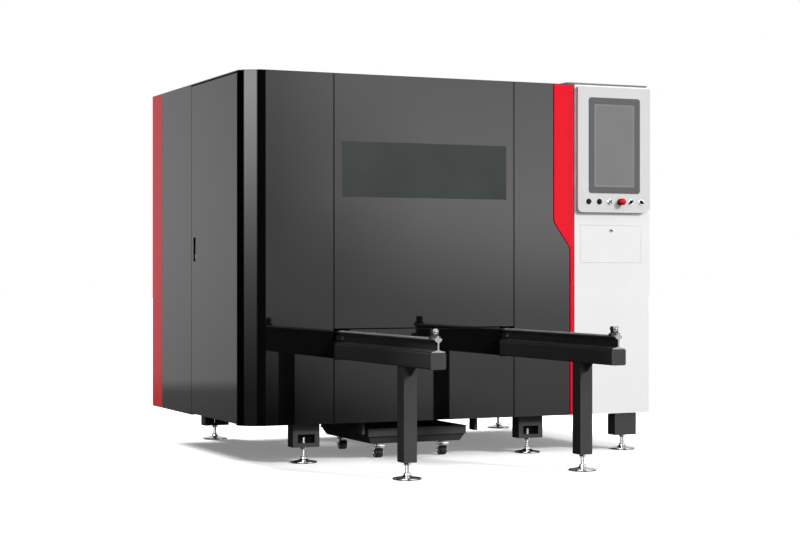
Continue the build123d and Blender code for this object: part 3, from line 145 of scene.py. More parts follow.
def colour(hex_value):
    """An sRGB hex value such as #1c1d1f as the linear colour that a shader takes."""
    channels = [int(hex_value[i:i + 2], 16) / 255 for i in (1, 3, 5)]
    linear = [c / 12.92 if c <= 0.04045 else ((c + 0.055) / 1.055) ** 2.4 for c in channels]
    return (*linear, 1.0)


def add(tree, kind, inputs, stops=(), **settings):
    """Adds one shader node.

    An input takes a value, another node's output, or a node, which gives its first output.
    A stop of a colour ramp is a place from 0 to 1 and a linear grey or a hex colour.
    """
    made = tree.nodes.new(kind)
    for name, value in settings.items():
        setattr(made, name, value)
    for name, value in inputs.items():
        if isinstance(value, bpy.types.Node):
            value = value.outputs[0]
        if isinstance(value, bpy.types.NodeSocket):
            tree.links.new(value, made.inputs[name])
        else:
            made.inputs[name].default_value = value
    for index, (place, shade) in enumerate(stops):
        band = made.color_ramp.elements
        if index == len(band):
            band.new(1.0)
        band[index].position = place
        band[index].color = colour(shade) if isinstance(shade, str) else (shade, shade, shade, 1)
    return made


# Camera
def make_camera():
    data = bpy.data.cameras.new("camera")
    data.lens = CAMERA_LENS
    data.shift_y = PIXELS_RAISED / PICTURE_WIDTH
    camera = bpy.data.objects.new("camera", data)
    camera.location = CAMERA_PLACE
    camera.rotation_euler = (math.radians(90), 0, math.radians(-CAMERA_YAW))
    scene.collection.objects.link(camera)
    scene.camera = camera


# Studio
def wall(tree, level, stops):
    """Brightness of one wall by its height, as a share of the brightest."""
    bottom = math.sin(math.radians(WALL_BOTTOM))
    top = math.sin(math.radians(WALL_TOP))
    places = [(math.sin(math.radians(height)) - bottom) / (top - bottom) for height, _ in stops]
    shades = [brightness / WALL_BRIGHTEST for _, brightness in stops]
    return add(tree, "ShaderNodeValToRGB", {"Fac": level}, stops=list(zip(places, shades)))


def make_reflections(tree, place):
    """The walls and flags that a glossy surface shows."""
    parts = add(tree, "ShaderNodeSeparateXYZ", {"Vector": place})
    azimuth = add(
        tree, "ShaderNodeMath", {0: parts.outputs["X"], 1: parts.outputs["Y"]},
        operation="ARCTAN2",
    )
    level = add(tree, "ShaderNodeMapRange", {
        "Value": parts.outputs["Z"],
        "From Min": math.sin(math.radians(WALL_BOTTOM)),
        "From Max": math.sin(math.radians(WALL_TOP)),
    })
    around = wall(tree, level, CAMERA_WALL).outputs["Color"]
    for start, end, stops in WALLS:
        reached = add(tree, "ShaderNodeMapRange", {
            "Value": azimuth, "From Min": math.radians(start), "From Max": math.radians(end),
        })
        around = add(
            tree, "ShaderNodeMix", {"Factor": reached, 6: around, 7: wall(tree, level, stops)},
            data_type="RGBA",
        ).outputs[2]
    turn = add(tree, "ShaderNodeMapRange", {
        "Value": azimuth, "From Min": -math.pi, "From Max": math.pi,
    })
    flags = add(
        tree, "ShaderNodeValToRGB", {"Fac": turn},
        stops=[((direction + 180) / 360, share) for direction, share in FLAGS],
    )
    return add(
        tree, "ShaderNodeMix", {"Factor": 1.0, 6: flags, 7: around},
        data_type="RGBA", blend_type="MULTIPLY",
    ).outputs[2]


def make_world():
    """White to the camera, soft light from the upper right, and walls for reflections."""
    world = bpy.data.worlds.new("studio")
    world.use_nodes = True
    scene.world = world
    tree = world.node_tree
    tree.nodes.clear()
    place = add(tree, "ShaderNodeTexCoord", {}).outputs["Generated"]
    facing = add(
        tree, "ShaderNodeVectorMath",
        {0: place, 1: tuple(Vector(SOFT_BOX).normalized())}, operation="DOT_PRODUCT",
    ).outputs["Value"]
    open_side = add(tree, "ShaderNodeMapRange", {
        "Value": facing, "From Min": SOFT_EDGE, "To Min": SOFT_DARK, "To Max": SOFT_BRIGHT,
    })
    white = add(tree, "ShaderNodeBackground", {"Color": (1, 1, 1, 1), "Strength": 1.0})
    soft = add(tree, "ShaderNodeBackground", {"Color": (1, 1, 1, 1), "Strength": open_side})
    walls = add(tree, "ShaderNodeBackground", {
        "Color": make_reflections(tree, place), "Strength": WALL_BRIGHTEST,
    })
    ray = add(tree, "ShaderNodeLightPath", {}).outputs
    seen = add(
        tree, "ShaderNodeMath", {0: ray["Is Camera Ray"], 1: ray["Is Transmission Ray"]},
        operation="MAXIMUM",
    )
    lit = add(tree, "ShaderNodeMixShader", {0: ray["Is Glossy Ray"], 1: soft, 2: walls})
    both = add(tree, "ShaderNodeMixShader", {0: seen, 1: lit, 2: white})
    add(tree, "ShaderNodeOutputWorld", {"Surface": both})


def make_lamp(name, azimuth, height, strength, softness):
    """A distant lamp, whose angles are in degrees."""
    data = bpy.data.lights.new(name, "SUN")
    data.energy = strength
    data.angle = math.radians(softness)
    lamp = bpy.data.objects.new(name, data)
    turn = math.radians(azimuth)
    rise = math.radians(height)
    towards = Vector((
        math.cos(rise) * math.sin(turn), math.cos(rise) * math.cos(turn), math.sin(rise)
    ))
    lamp.rotation_euler = (-towards).to_track_quat("-Z", "Y").to_euler()
    lamp.visible_glossy = False
    scene.collection.objects.link(lamp)


def make_floor():
    """Pale floor that is white where light reaches it and keeps the machine's shadow; its glow is
    weaker round the machine, a painted shadow that fades out farther away.
    """
    mesh = bpy.data.meshes.new("floor")
    bm = bmesh.new()
    bmesh.ops.create_grid(bm, x_segments=1, y_segments=1, size=FLOOR_REACH)
    bm.to_mesh(mesh)
    bm.free()
    floor = bpy.data.objects.new("floor", mesh)
    floor.visible_glossy = False
    scene.collection.objects.link(floor)
    material, tree, place = start("studio_floor")
    # Distance outside the rectangle of painted shadow round the machine; the glow, a painted
    # light, grows with it
    aside = add(
        tree, "ShaderNodeVectorMath", {0: place, 1: PAINTED_SHADOW_MIDDLE}, operation="SUBTRACT"
    )
    aside = add(tree, "ShaderNodeVectorMath", {0: aside}, operation="ABSOLUTE")
    aside = add(tree, "ShaderNodeVectorMath", {0: aside, 1: PAINTED_SHADOW_HALF}, operation="SUBTRACT")
    aside = add(tree, "ShaderNodeVectorMath", {0: aside, 1: (0, 0, 0)}, operation="MAXIMUM")
    away = add(tree, "ShaderNodeVectorMath", {0: aside}, operation="LENGTH").outputs["Value"]
    glow = add(
        tree, "ShaderNodeMapRange",
        {
            "Value": away, "From Min": GLOW_FROM, "From Max": GLOW_TO,
            "To Min": GLOW_IN_PAINTED_SHADOW, "To Max": GLOW_OUTSIDE_PAINTED_SHADOW,
        },
        interpolation_type="SMOOTHSTEP",
    )
    ray = add(tree, "ShaderNodeLightPath", {}).outputs
    pale = add(tree, "ShaderNodeBsdfDiffuse", {"Color": FLOOR_WHITE})
    bounce = add(tree, "ShaderNodeBsdfDiffuse", {"Color": FLOOR_BOUNCE})
    lift = add(tree, "ShaderNodeEmission", {"Color": (1, 1, 1, 1), "Strength": glow})
    shown = add(tree, "ShaderNodeAddShader", {0: pale, 1: lift})
    look = add(tree, "ShaderNodeMixShader", {0: ray["Is Camera Ray"], 1: bounce, 2: shown})
    add(tree, "ShaderNodeOutputMaterial", {"Surface": look})
    mesh.materials.append(material)


# Materials
PAINT_EDGE = 1.2 * MM
METAL_EDGE = 0.6 * MM
GLASS_EDGE = 2.0 * MM
BEVEL_SAMPLES = 4


def start(name):
    """An empty material, its node tree and the object's own coordinates in metres."""
    material = bpy.data.materials.new(name)
    material.use_nodes = True
    tree = material.node_tree
    tree.nodes.clear()
    place = add(tree, "ShaderNodeTexCoord", {}).outputs["Object"]
    return material, tree, place


def coat(tree, inputs):
    """Gives the material its surface."""
    surface = add(tree, "ShaderNodeBsdfPrincipled", inputs)
    add(tree, "ShaderNodeOutputMaterial", {"Surface": surface})


def lumps(size_mm):
    """Scale of a noise whose lumps are about as wide as the given size."""
    return 1 / (size_mm * MM)


def gloss_enamel():
    """Baked black enamel on sheet steel: a mirror-like film with a faint orange peel."""
    material, tree, place = start("black_gloss_enamel")
    cloud = add(tree, "ShaderNodeTexNoise", {"Vector": place, "Scale": lumps(180)})
    peel = add(tree, "ShaderNodeTexNoise", {"Vector": place, "Scale": lumps(9)})
    edge = add(tree, "ShaderNodeBevel", {"Radius": PAINT_EDGE}, samples=BEVEL_SAMPLES)
    coat(tree, {
        "Base Color": add(
            tree, "ShaderNodeValToRGB", {"Fac": cloud}, stops=[(0.3, "#09090a"), (0.7, "#0b0b0c")]
        ),
        "Roughness": add(
            tree, "ShaderNodeMapRange", {"Value": cloud, "To Min": 0.02, "To Max": 0.045}
        ),
        "IOR": 1.5,
        "Normal": add(tree, "ShaderNodeBump", {
            "Height": peel, "Strength": 0.06, "Distance": 0.01 * MM, "Normal": edge,
        }),
    })
    return material


def grained_coat(name, dark, light, rough, grain_mm=3.0, ior=1.5, relief=0.3):
    """Powder coat, satin paint or moulded plastic: an even grain that breaks up the gloss.

    The real grain is under a millimetre, and is drawn coarser to show.
    """
    material, tree, place = start(name)
    cloud = add(tree, "ShaderNodeTexNoise", {"Vector": place, "Scale": lumps(140)})
    grain = add(tree, "ShaderNodeTexNoise", {
        "Vector": place, "Scale": lumps(grain_mm), "Detail": 3.0,
    })
    edge = add(tree, "ShaderNodeBevel", {"Radius": PAINT_EDGE}, samples=BEVEL_SAMPLES)
    coat(tree, {
        "Base Color": add(
            tree, "ShaderNodeValToRGB", {"Fac": cloud}, stops=[(0.3, dark), (0.7, light)]
        ),
        "Roughness": add(
            tree, "ShaderNodeMapRange",
            {"Value": grain, "To Min": rough - 0.06, "To Max": rough + 0.06},
        ),
        "IOR": ior,
        "Normal": add(tree, "ShaderNodeBump", {
            "Height": grain, "Strength": relief, "Distance": 0.05 * MM, "Normal": edge,
        }),
    })
    return material


def metal(name, dark, light, rough, grain_mm=4.0, brushed=(1, 1, 1)):
    """Bare or plated metal; brushed stretches the grain along one axis."""
    material, tree, place = start(name)
    stretched = add(tree, "ShaderNodeMapping", {"Vector": place, "Scale": brushed})
    grain = add(tree, "ShaderNodeTexNoise", {
        "Vector": stretched, "Scale": lumps(grain_mm), "Detail": 4.0,
    })
    edge = add(tree, "ShaderNodeBevel", {"Radius": METAL_EDGE}, samples=BEVEL_SAMPLES)
    coat(tree, {
        "Base Color": add(
            tree, "ShaderNodeValToRGB", {"Fac": grain}, stops=[(0.3, dark), (0.7, light)]
        ),
        "Metallic": 1.0,
        "Roughness": add(
            tree, "ShaderNodeMapRange",
            {"Value": grain, "To Min": rough * 0.75, "To Max": rough * 1.25},
        ),
        "Normal": add(tree, "ShaderNodeBump", {
            "Height": grain, "Strength": 0.12, "Distance": 0.03 * MM, "Normal": edge,
        }),
    })
    return material


def rail_steel():
    """Black painted rail: wheels have polished the crown bare, and the sawn ends are bare."""
    material, tree, place = start("black_rail_with_polished_crown")
    low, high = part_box("table_rails")
    parts = add(tree, "ShaderNodeSeparateXYZ", {"Vector": place}).outputs
    wear = add(tree, "ShaderNodeTexNoise", {
        "Vector": place, "Scale": lumps(25), "Detail": 3.0,
    })
    height = add(
        tree, "ShaderNodeMath", {0: wear, 1: 2 * MM, 2: parts["Z"]}, operation="MULTIPLY_ADD"
    )
    crown = add(tree, "ShaderNodeMapRange", {
        "Value": height, "From Min": high.z - 9.5 * MM, "From Max": high.z - 6.5 * MM,
    })
    sawn = add(
        tree, "ShaderNodeMath", {0: parts["Y"], 1: low.y + 0.15 * MM}, operation="LESS_THAN"
    )
    bare = add(tree, "ShaderNodeMath", {0: crown, 1: sawn}, operation="MAXIMUM")
    grain = add(tree, "ShaderNodeTexNoise", {
        "Vector": place, "Scale": lumps(3), "Detail": 3.0,
    })
    paint = add(
        tree, "ShaderNodeValToRGB", {"Fac": grain}, stops=[(0.3, "#464646"), (0.7, "#4a4a4a")]
    )
    steel = add(
        tree, "ShaderNodeValToRGB", {"Fac": grain}, stops=[(0.3, "#a2a2a2"), (0.7, "#b4b4b4")]
    )
    edge = add(tree, "ShaderNodeBevel", {"Radius": PAINT_EDGE}, samples=BEVEL_SAMPLES)
    coat(tree, {
        "Base Color": add(
            tree, "ShaderNodeMix", {"Factor": bare, 6: paint, 7: steel}, data_type="RGBA"
        ).outputs[2],
        "Metallic": add(tree, "ShaderNodeMapRange", {"Value": bare, "To Max": 0.6}),
        "Roughness": add(
            tree, "ShaderNodeMapRange", {"Value": bare, "To Min": 0.6, "To Max": 0.4}
        ),
        "IOR": 1.04,
        "Normal": add(tree, "ShaderNodeBump", {
            "Height": grain, "Strength": 0.2, "Distance": 0.04 * MM, "Normal": edge,
        }),
    })
    return material


def window_glass():
    """Smoked laser safety glass: a dull grey-green pane that hides the chamber behind it."""
    material, tree, place = start("laser_safety_glass")
    cloud = add(tree, "ShaderNodeTexNoise", {"Vector": place, "Scale": lumps(300)})
    coat(tree, {
        "Base Color": add(
            tree, "ShaderNodeValToRGB", {"Fac": cloud}, stops=[(0.3, "#3e4341"), (0.7, "#444947")]
        ),
        "Roughness": 0.45,
        "IOR": 1.1,
        "Normal": add(tree, "ShaderNodeBevel", {"Radius": GLASS_EDGE}, samples=BEVEL_SAMPLES),
    })
    return material


def rubber():
    """Moulded black rubber with a dull skin."""
    material, tree, place = start("moulded_rubber")
    grain = add(tree, "ShaderNodeTexNoise", {
        "Vector": place, "Scale": lumps(1.5), "Detail": 4.0,
    })
    edge = add(tree, "ShaderNodeBevel", {"Radius": PAINT_EDGE}, samples=BEVEL_SAMPLES)
    coat(tree, {
        "Base Color": add(
            tree, "ShaderNodeValToRGB", {"Fac": grain}, stops=[(0.3, "#0e0e0e"), (0.7, "#161616")]
        ),
        "Roughness": add(
            tree, "ShaderNodeMapRange", {"Value": grain, "To Min": 0.4, "To Max": 0.6}
        ),
        "IOR": 1.5,
        "Normal": add(tree, "ShaderNodeBump", {
            "Height": grain, "Strength": 0.3, "Distance": 0.08 * MM, "Normal": edge,
        }),
    })
    return material


# The glass that shows inside the bezel, and the paler band along its edge
SCREEN_WIDTH = 264.0
SCREEN_HEIGHT = 469.0
SCREEN_BORDER = 11.0


def screen():
    """Sleeping touch screen: grey glass over an unlit panel, with a paler border."""
    material, tree, place = start("touch_screen_glass")
    low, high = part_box("monitor_bezel")
    offset = add(
        tree, "ShaderNodeVectorMath", {0: place, 1: tuple((low + high) / 2)},
        operation="SUBTRACT",
    )
    size = add(tree, "ShaderNodeVectorMath", {0: offset}, operation="ABSOLUTE")
    reach = add(tree, "ShaderNodeSeparateXYZ", {"Vector": size}).outputs
    across = add(
        tree, "ShaderNodeMath", {0: reach["X"], 1: (SCREEN_WIDTH / 2 - SCREEN_BORDER) * MM},
        operation="SUBTRACT",
    )
    along = add(
        tree, "ShaderNodeMath", {0: reach["Z"], 1: (SCREEN_HEIGHT / 2 - SCREEN_BORDER) * MM},
        operation="SUBTRACT",
    )
    beyond = add(tree, "ShaderNodeMath", {0: across, 1: along}, operation="MAXIMUM")
    border = add(tree, "ShaderNodeMath", {0: beyond, 1: 0.0}, operation="GREATER_THAN")
    cloud = add(tree, "ShaderNodeTexNoise", {"Vector": place, "Scale": lumps(220)})
    panel = add(
        tree, "ShaderNodeValToRGB", {"Fac": cloud}, stops=[(0.3, "#7c7c7d"), (0.7, "#7f7f80")]
    )
    coat(tree, {
        "Base Color": add(
            tree, "ShaderNodeMix", {"Factor": border, 6: panel, 7: colour("#868686")},
            data_type="RGBA",
        ).outputs[2],
        "Roughness": 0.35,
        "IOR": 1.2,
    })
    return material


# The finish of each slot in the record
MATERIALS = {
    # Sheet panels, as dark mirrors
    "panel_black": gloss_enamel(),
    # A dull black coat that lifts to dark grey only where the light falls on it
    "frame_black": grained_coat("black_powder_coat", "#484848", "#4c4c4c", 0.6, 3.0, 1.04),
    # Clear red with a slight gloss
    "signal_red": grained_coat("red_powder_coat", "#e80322", "#eb0426", 0.12, 6.0, 1.17, 0.05),
    # The column, nearly white, with a soft sheen
    "column_white": grained_coat(
        "white_satin_powder_coat", "#eaeaea", "#ededed", 0.34, 3.0, 1.3, 0.1
    ),
    # The monitor's housing, a shade darker than the column
    "housing_grey": grained_coat(
        "pale_grey_satin_paint", "#d6d6d6", "#d9d9d9", 0.3, 3.0, 1.3, 0.1
    ),
    # Matt moulded frame round the screen
    "bezel_grey": grained_coat("dark_grey_plastic", "#606060", "#636363", 0.4, 2.0, 1.25, 0.1),
    "screen_grey": screen(),
    "window_glass": window_glass(),
    # Feet, forks, rods and rings, bright with hard highlights
    "chrome_steel": metal("chromed_steel", "#c4c6c8", "#dcdedf", 0.2),
    # Screws and bolts, bright but duller than chrome
    "zinc_steel": metal("zinc_plated_steel", "#b4b8bb", "#cdd0d2", 0.3),
    # Linear rails, door guides and track wheels, ground along their length
    "ground_steel": metal("ground_steel", "#9a9da0", "#b8bbbd", 0.28, 3.0, (1, 0.1, 1)),
    # Slats with the dark scale of sheet that was cut by laser
    "slat_steel": metal("cut_mild_steel", "#5f5f60", "#7b7a78", 0.45),
    # Cutting head, carriage and cylinders, silvery and satin
    "head_aluminium": metal("anodised_aluminium", "#a6a9ac", "#b8bbbd", 0.35),
    # Nozzle, turned and warm in colour
    "nozzle_copper": metal("turned_copper", "#b4683e", "#c87d50", 0.22),
    "wheel_rubber": rubber(),
    # Shiny black caps of the switches, with a small highlight
    "switch_black": grained_coat(
        "black_switch_plastic", "#050505", "#080808", 0.12, 1.5, 1.25, 0.02
    ),
    # The stop button, red through and through
    "stop_red": grained_coat("red_switch_plastic", "#e0081c", "#e60c20", 0.25, 1.5, 1.3, 0.1),
    # Hopper and the duct's lip, with the broad spangle of hot-dipped zinc
    "galvanised_sheet": metal("galvanised_sheet", "#8d9194", "#a9adb0", 0.38, 14.0),
}

# Two nodes have a finish of their own: the cap's edge is a darker grey than the housing that
# it stands above, and the rails are painted and worn
OWN_FINISH = {
    "column_cap": grained_coat("mid_grey_satin_paint", "#747474", "#787878", 0.35, 3.0, 1.2, 0.1),
    "table_rails": rail_steel(),
}


def dress_nodes():
    """Gives every CAD node the finish that its slot in the record names."""
    for part in frame["record"]["subparts"]:
        name = part["node"]
        mesh = frame["nodes"][name].data
        mesh.materials.clear()
        mesh.materials.append(OWN_FINISH.get(name, MATERIALS[part["material_slot"]]))


# New pieces, drawn in millimetres from the machine's left front corner on the floor
SHARP_EDGE = 32


def spot(x, y, z):
    return Vector((x, y, z)) * MM + CORNER


def turned(bm, profile, centre, axis, steps=32):
    """Spins a profile of radius and height, in millimetres, about an axis through a point."""
    along = Vector(axis).normalized()
    side = along.orthogonal().normalized()
    points = [bm.verts.new(centre + side * r * MM + along * h * MM) for r, h in profile]
    lines = [bm.edges.new(pair) for pair in zip(points, points[1:])]
    bmesh.ops.spin(
        bm, geom=points + lines, cent=centre, axis=along, angle=math.tau, steps=steps,
        use_merge=True,
    )


def prism(bm, centre, axis, radius, length, chamfer, turn=0.0):
    """Hexagon from a point along an axis, as a nut or a bolt's head has."""
    along = Vector(axis).normalized()
    place = Matrix.Translation(centre + along * length * MM / 2)
    place @= along.to_track_quat("Z", "Y").to_matrix().to_4x4() @ Matrix.Rotation(turn, 4, "Z")
    made = bmesh.ops.create_cone(
        bm, cap_ends=True, segments=6, radius1=radius * MM, radius2=radius * MM,
        depth=length * MM, matrix=place,
    )
    soften(bm, made["verts"], chamfer, 1)


def block(bm, low, high, chamfer=1.0, segments=2):
    """Rectangular block between two corners, with its edges broken."""
    shape = Matrix.LocRotScale((low + high) / 2, None, high - low)
    made = bmesh.ops.create_cube(bm, size=1.0, matrix=shape)
    soften(bm, made["verts"], chamfer, segments)
    return made["verts"]


def ring_of_bars(bm, low, high, width, chamfer, second):
    """Four bars round the rectangle between two corners, along x and a second axis."""
    for axis, overlap in ((second, width), (0, 0)):
        other = second - axis
        for near, far in ((low[axis] - width, low[axis]), (high[axis], high[axis] + width)):
            start, end = list(low), list(high)
            start[axis], end[axis] = near, far
            start[other] -= overlap
            end[other] += overlap
            block(bm, spot(*start), spot(*end), chamfer)


def soften(bm, verts, width, segments):
    """Breaks the edges at the given corners; a width of 0 leaves them sharp."""
    if width:
        edges = list({edge for vert in verts for edge in vert.link_edges})
        bmesh.ops.bevel(
            bm, geom=edges, offset=width * MM, segments=segments, profile=0.5,
            affect="EDGES", material=-1,
        )


def keep(name, bm, body, slot, replaced=()):
    """Turns the finished bmesh into a piece that rides on a body."""
    bmesh.ops.remove_doubles(bm, verts=bm.verts, dist=1e-6)
    bmesh.ops.recalc_face_normals(bm, faces=bm.faces)
    for face in bm.faces:
        face.smooth = True
    mesh = bpy.data.meshes.new(name)
    bm.to_mesh(mesh)
    bm.free()
    mesh.set_sharp_from_angle(angle=math.radians(SHARP_EDGE))
    mesh.materials.append(MATERIALS[slot])
    piece = bpy.data.objects.new(name, mesh)
    scene.collection.objects.link(piece)
    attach(piece, body)
    if replaced:
        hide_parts(*replaced)


# Levelling feet: each foot's place and the top of its stud
LEG_BOTTOM = 85.0
FEET = [
    (375, 96, 138), (375, 1600, 138), (1720, 96, 138), (1720, 1600, 138),
    (2308, 50, 138), (2308, 1600, 138), (556.5, -841, 119), (1538.5, -841, 119),
]
FOOT_DISC = [
    (0, 0), (68, 0), (71, 1), (72.2, 3.5), (72.2, 6.5), (70.5, 8.8), (66, 10), (48, 12.5),
    (32, 15.5), (23, 19), (18.5, 22), (17.5, 25), (17.5, 30), (15.5, 33), (9, 34), (0, 34),
]
THREAD_START = 32.0
THREAD_PITCH = 2.5
THREAD_ROOT = 8.7
THREAD_CREST = 10.0
NUT_RADIUS = 17.3
NUT_HEIGHT = 14.0
NUT_TURN = 0.4
WASHER = [(9, 82.5), (19.5, 82.5), (19.5, 84.9), (9, 84.9)]


def make_feet():
    """Turned steel discs with a ball socket, a threaded stud and a lock nut under the leg."""
    bm = bmesh.new()
    for x, y, top in FEET:
        turned(bm, FOOT_DISC, spot(x, y, 0), UP, 64)
        thread = [(0, THREAD_START)]
        for step in range(int((top - THREAD_START - 1) / THREAD_PITCH)):
            z = THREAD_START + step * THREAD_PITCH
            thread += [(THREAD_ROOT, z), (THREAD_CREST, z + THREAD_PITCH / 2)]
        thread += [(THREAD_ROOT, top - 1), (7.5, top), (0, top)]
        turned(bm, thread, spot(x, y, 0), UP, 20)
        nut = spot(x, y, LEG_BOTTOM - NUT_HEIGHT)
        prism(bm, nut, UP, NUT_RADIUS, NUT_HEIGHT, 1.4, NUT_TURN)
        turned(bm, WASHER, spot(x, y, 0), UP, 28)
    keep("levelling_foot_set", bm, "machine", "chrome_steel", ["levelling_feet"])


# Switches in a row under the screen; heights count from the housing's face
HOUSING_FACE = -22.0
SWITCH_ROW = 1412.0
SWITCH_X = [2049 + 68.6 * step for step in range(6)]
KEY_PLACE = 2
STOP_PLACE = 3
RING = [(10.4, 0), (10.4, 2.4), (11.2, 3.4), (14.2, 3.4), (15.8, 2.4), (16.4, 0), (10.4, 0)]
STOP_COLLAR = [(10.4, 0), (10.4, 11), (13, 12.5), (16.5, 12.2), (19, 10), (19.5, 0), (10.4, 0)]
BUTTON = [
    (0, 8.4), (5, 8.5), (7.6, 9), (9.2, 8.4), (9.9, 7), (9.9, -15), (9.4, -16), (0, -16),
]
STOP_HEAD = [
    (0, 41), (6, 40.7), (12, 39.4), (16.5, 36.8), (19.2, 33), (20, 29.4), (19.8, 26),
    (18.4, 24.2), (15, 23.2), (11, 22), (9.8, 19), (9.8, -14), (0, -14),
]
BARREL = [(0, 3.6), (8.6, 3.6), (9.8, 2.8), (9.8, 0), (0, 0)]
KNOB_TILT = 45


def switch_spot(index):
    return spot(SWITCH_X[index], HOUSING_FACE, SWITCH_ROW)


def make_collars():
    """Rings that clamp the switches: black for the buttons, bright for the ones that turn."""
    for name, slot, places in (
        ("push_button_collars", "switch_black", (0, 1)),
        ("selector_collars", "chrome_steel", (KEY_PLACE, 4, 5)),
    ):
        bm = bmesh.new()
        for index in places:
            turned(bm, RING, switch_spot(index), FRONT, 40)
        keep(name, bm, "machine", slot)
    bm = bmesh.new()
    turned(bm, STOP_COLLAR, switch_spot(STOP_PLACE), FRONT, 48)
    keep("stop_button_collar", bm, "machine", "switch_black")


def make_buttons():
    for index, body in ((0, "start_button"), (1, "pause_button")):
        bm = bmesh.new()
        turned(bm, BUTTON, switch_spot(index), FRONT, 36)
        keep(f"{body}_cap", bm, body, "switch_black", [body])
    bm = bmesh.new()
    turned(bm, STOP_HEAD, switch_spot(STOP_PLACE), FRONT, 48)
    keep("stop_button_head", bm, "emergency_stop", "stop_red", ["emergency_stop"])


def make_selectors():
    """Barrels with a short lever, one turned to the left and one to the right."""
    for index, body, tilt in ((4, "mode_selector", KNOB_TILT), (5, "light_selector", -KNOB_TILT)):
        bm = bmesh.new()
        turned(bm, BARREL, switch_spot(index), FRONT, 32)
        knob = block(bm, Vector((-4.2, -16, -11.5)) * MM, Vector((4.2, 0, 11.5)) * MM, 0)
        turn = Matrix.Rotation(math.radians(tilt), 4, "Y")
        bmesh.ops.transform(
            bm, matrix=Matrix.Translation(switch_spot(index)) @ turn, verts=knob
        )
        soften(bm, knob, 1.6, 3)
        keep(f"{body}_knob", bm, body, "switch_black", [body])


def make_key():
    """Key in its switch, with a moulded bow."""
    bm = bmesh.new()
    turned(bm, BARREL, switch_spot(KEY_PLACE), FRONT, 32)
    keep("key_barrel", bm, "key_switch", "chrome_steel", ["key_switch"])
    x = SWITCH_X[KEY_PLACE]
    bm = bmesh.new()
    block(bm, spot(x - 1.2, -34, SWITCH_ROW - 4), spot(x + 1.2, -24, SWITCH_ROW + 4), 0.4)
    bow = block(bm, spot(x - 2.6, -41, SWITCH_ROW - 11), spot(x + 2.6, -31, SWITCH_ROW + 11), 0)
    soften(bm, bow, 2.2, 3)
    keep("key_bow", bm, "key_switch", "switch_black")


# Keyboard flap
LOCK_X = 2205.0
LOCK_Z = 1250.0
LOCK_RING = [(7.3, 0.2), (7.3, 1.6), (8.2, 2.4), (10.4, 2.2), (11.4, 0.2), (7.3, 0.2)]
LOCK_FACE = [(0, 3.3), (5.2, 3.3), (5.6, 2.9), (5.6, 2.0), (0, 2.0)]
LOCK_TILT = -60
SEAL_LOW = (2007.9, 0.8, 1066.9)
SEAL_HIGH = (2402.1, 4.0, 1277.1)
SEAL_WIDTH = 1.6


def make_flap_lock():
    """Bright ring, dark face and a small key that stands askew."""
    bm = bmesh.new()
    turned(bm, LOCK_RING, spot(LOCK_X, 0, LOCK_Z), FRONT, 32)
    keep("flap_lock_ring", bm, "keyboard_flap", "zinc_steel")
    bm = bmesh.new()
    bow = block(bm, Vector((-2.4, -9, -9)) * MM, Vector((2.4, -3, 9)) * MM, 0)
    place = Matrix.Translation(spot(LOCK_X + 3, 0, LOCK_Z))
    turn = Matrix.Rotation(math.radians(LOCK_TILT), 4, "Y")
    bmesh.ops.transform(bm, matrix=place @ turn, verts=bow)
    soften(bm, bow, 1.4, 3)
    turned(bm, LOCK_FACE, spot(LOCK_X, 0, LOCK_Z), FRONT, 28)
    keep("flap_lock_face", bm, "flap_lock", "switch_black")


def make_flap_seal():
    """White foam strip round the flap, which closes the gap a little below the surface."""
    bm = bmesh.new()
    ring_of_bars(bm, SEAL_LOW, SEAL_HIGH, SEAL_WIDTH, 0.2, 2)
    keep("flap_seal", bm, "machine", "column_white")


# Scrap cart
CASTER_X = {"left": 842.0, "right": 1228.0}
AXLE_Y = {"front": 181.0, "rear": 695.0}
AXLE_Z = 26.0
SWIVEL_Y = 165.0
TYRE = [
    (4.2, -21), (7.5, -21), (8, -20.6), (8, -19), (15, -19), (16, -20), (21.5, -21),
    (24.4, -19), (25.8, -14), (26, 0), (25.8, 14), (24.4, 19), (21.5, 21), (16, 20),
    (15, 19), (8, 19), (8, 20.6), (7.5, 21), (4.2, 21), (4.2, -21),
]
HUB = [
    (4.1, -21.4), (7, -21.4), (7, -19.2), (12.5, -19.2), (12.5, 19.2), (7, 19.2), (7, 21.4),
    (4.1, 21.4), (4.1, -21.4),
]
RACE = [
    (0, 73), (18, 73), (20, 74.4), (20, 77), (17.5, 78), (17.5, 79.4), (21, 80), (21, 83.4),
    (0, 83.4),
]
SWIVEL_CROWN_TOP = 74.0
FIXED_CROWN_TOP = 83.8
CROWN_BOTTOM = 57.0
CROWN_HALF = 29.0
CHEEK_BOTTOM = 17.0
CHEEK_INSIDE = 23.4
CHEEK_OUTSIDE = 28.6
CHEEK_HALF = 13.5
CHEEK_TAPER = 0.45
CART_LOW = (742, 80)
CART_HIGH = (1328, 780)
BEAD_WIDTH = 2.5
BEADS = {"cart_lower_bead": 126.0, "cart_upper_bead": 166.0}


def make_fork(bm, x, pivot_y, axle_y, crown_top):
    """Pressed fork: a crown under the race and two cheeks that narrow down to the axle."""
    block(
        bm, spot(x - CROWN_HALF, min(pivot_y, axle_y) - CHEEK_HALF, CROWN_BOTTOM),
        spot(x + CROWN_HALF, axle_y + CHEEK_HALF, crown_top), 2.5, 3,
    )
    for side in (-1, 1):
        near, far = sorted((x + side * CHEEK_INSIDE, x + side * CHEEK_OUTSIDE))
        cheek = block(
            bm, spot(near, axle_y - CHEEK_HALF, CHEEK_BOTTOM),
            spot(far, axle_y + CHEEK_HALF, CROWN_BOTTOM + 3), 0,
        )
        middle = spot(x, axle_y, AXLE_Z)
        for vert in cheek:
            if vert.co.z < middle.z:
                vert.co.y += (middle.y - vert.co.y) * CHEEK_TAPER
        soften(bm, cheek, 1.2, 2)
        prism(bm, spot(x + side * CHEEK_OUTSIDE, axle_y, AXLE_Z), (side, 0, 0), 7.5, 4.5, 0.8)


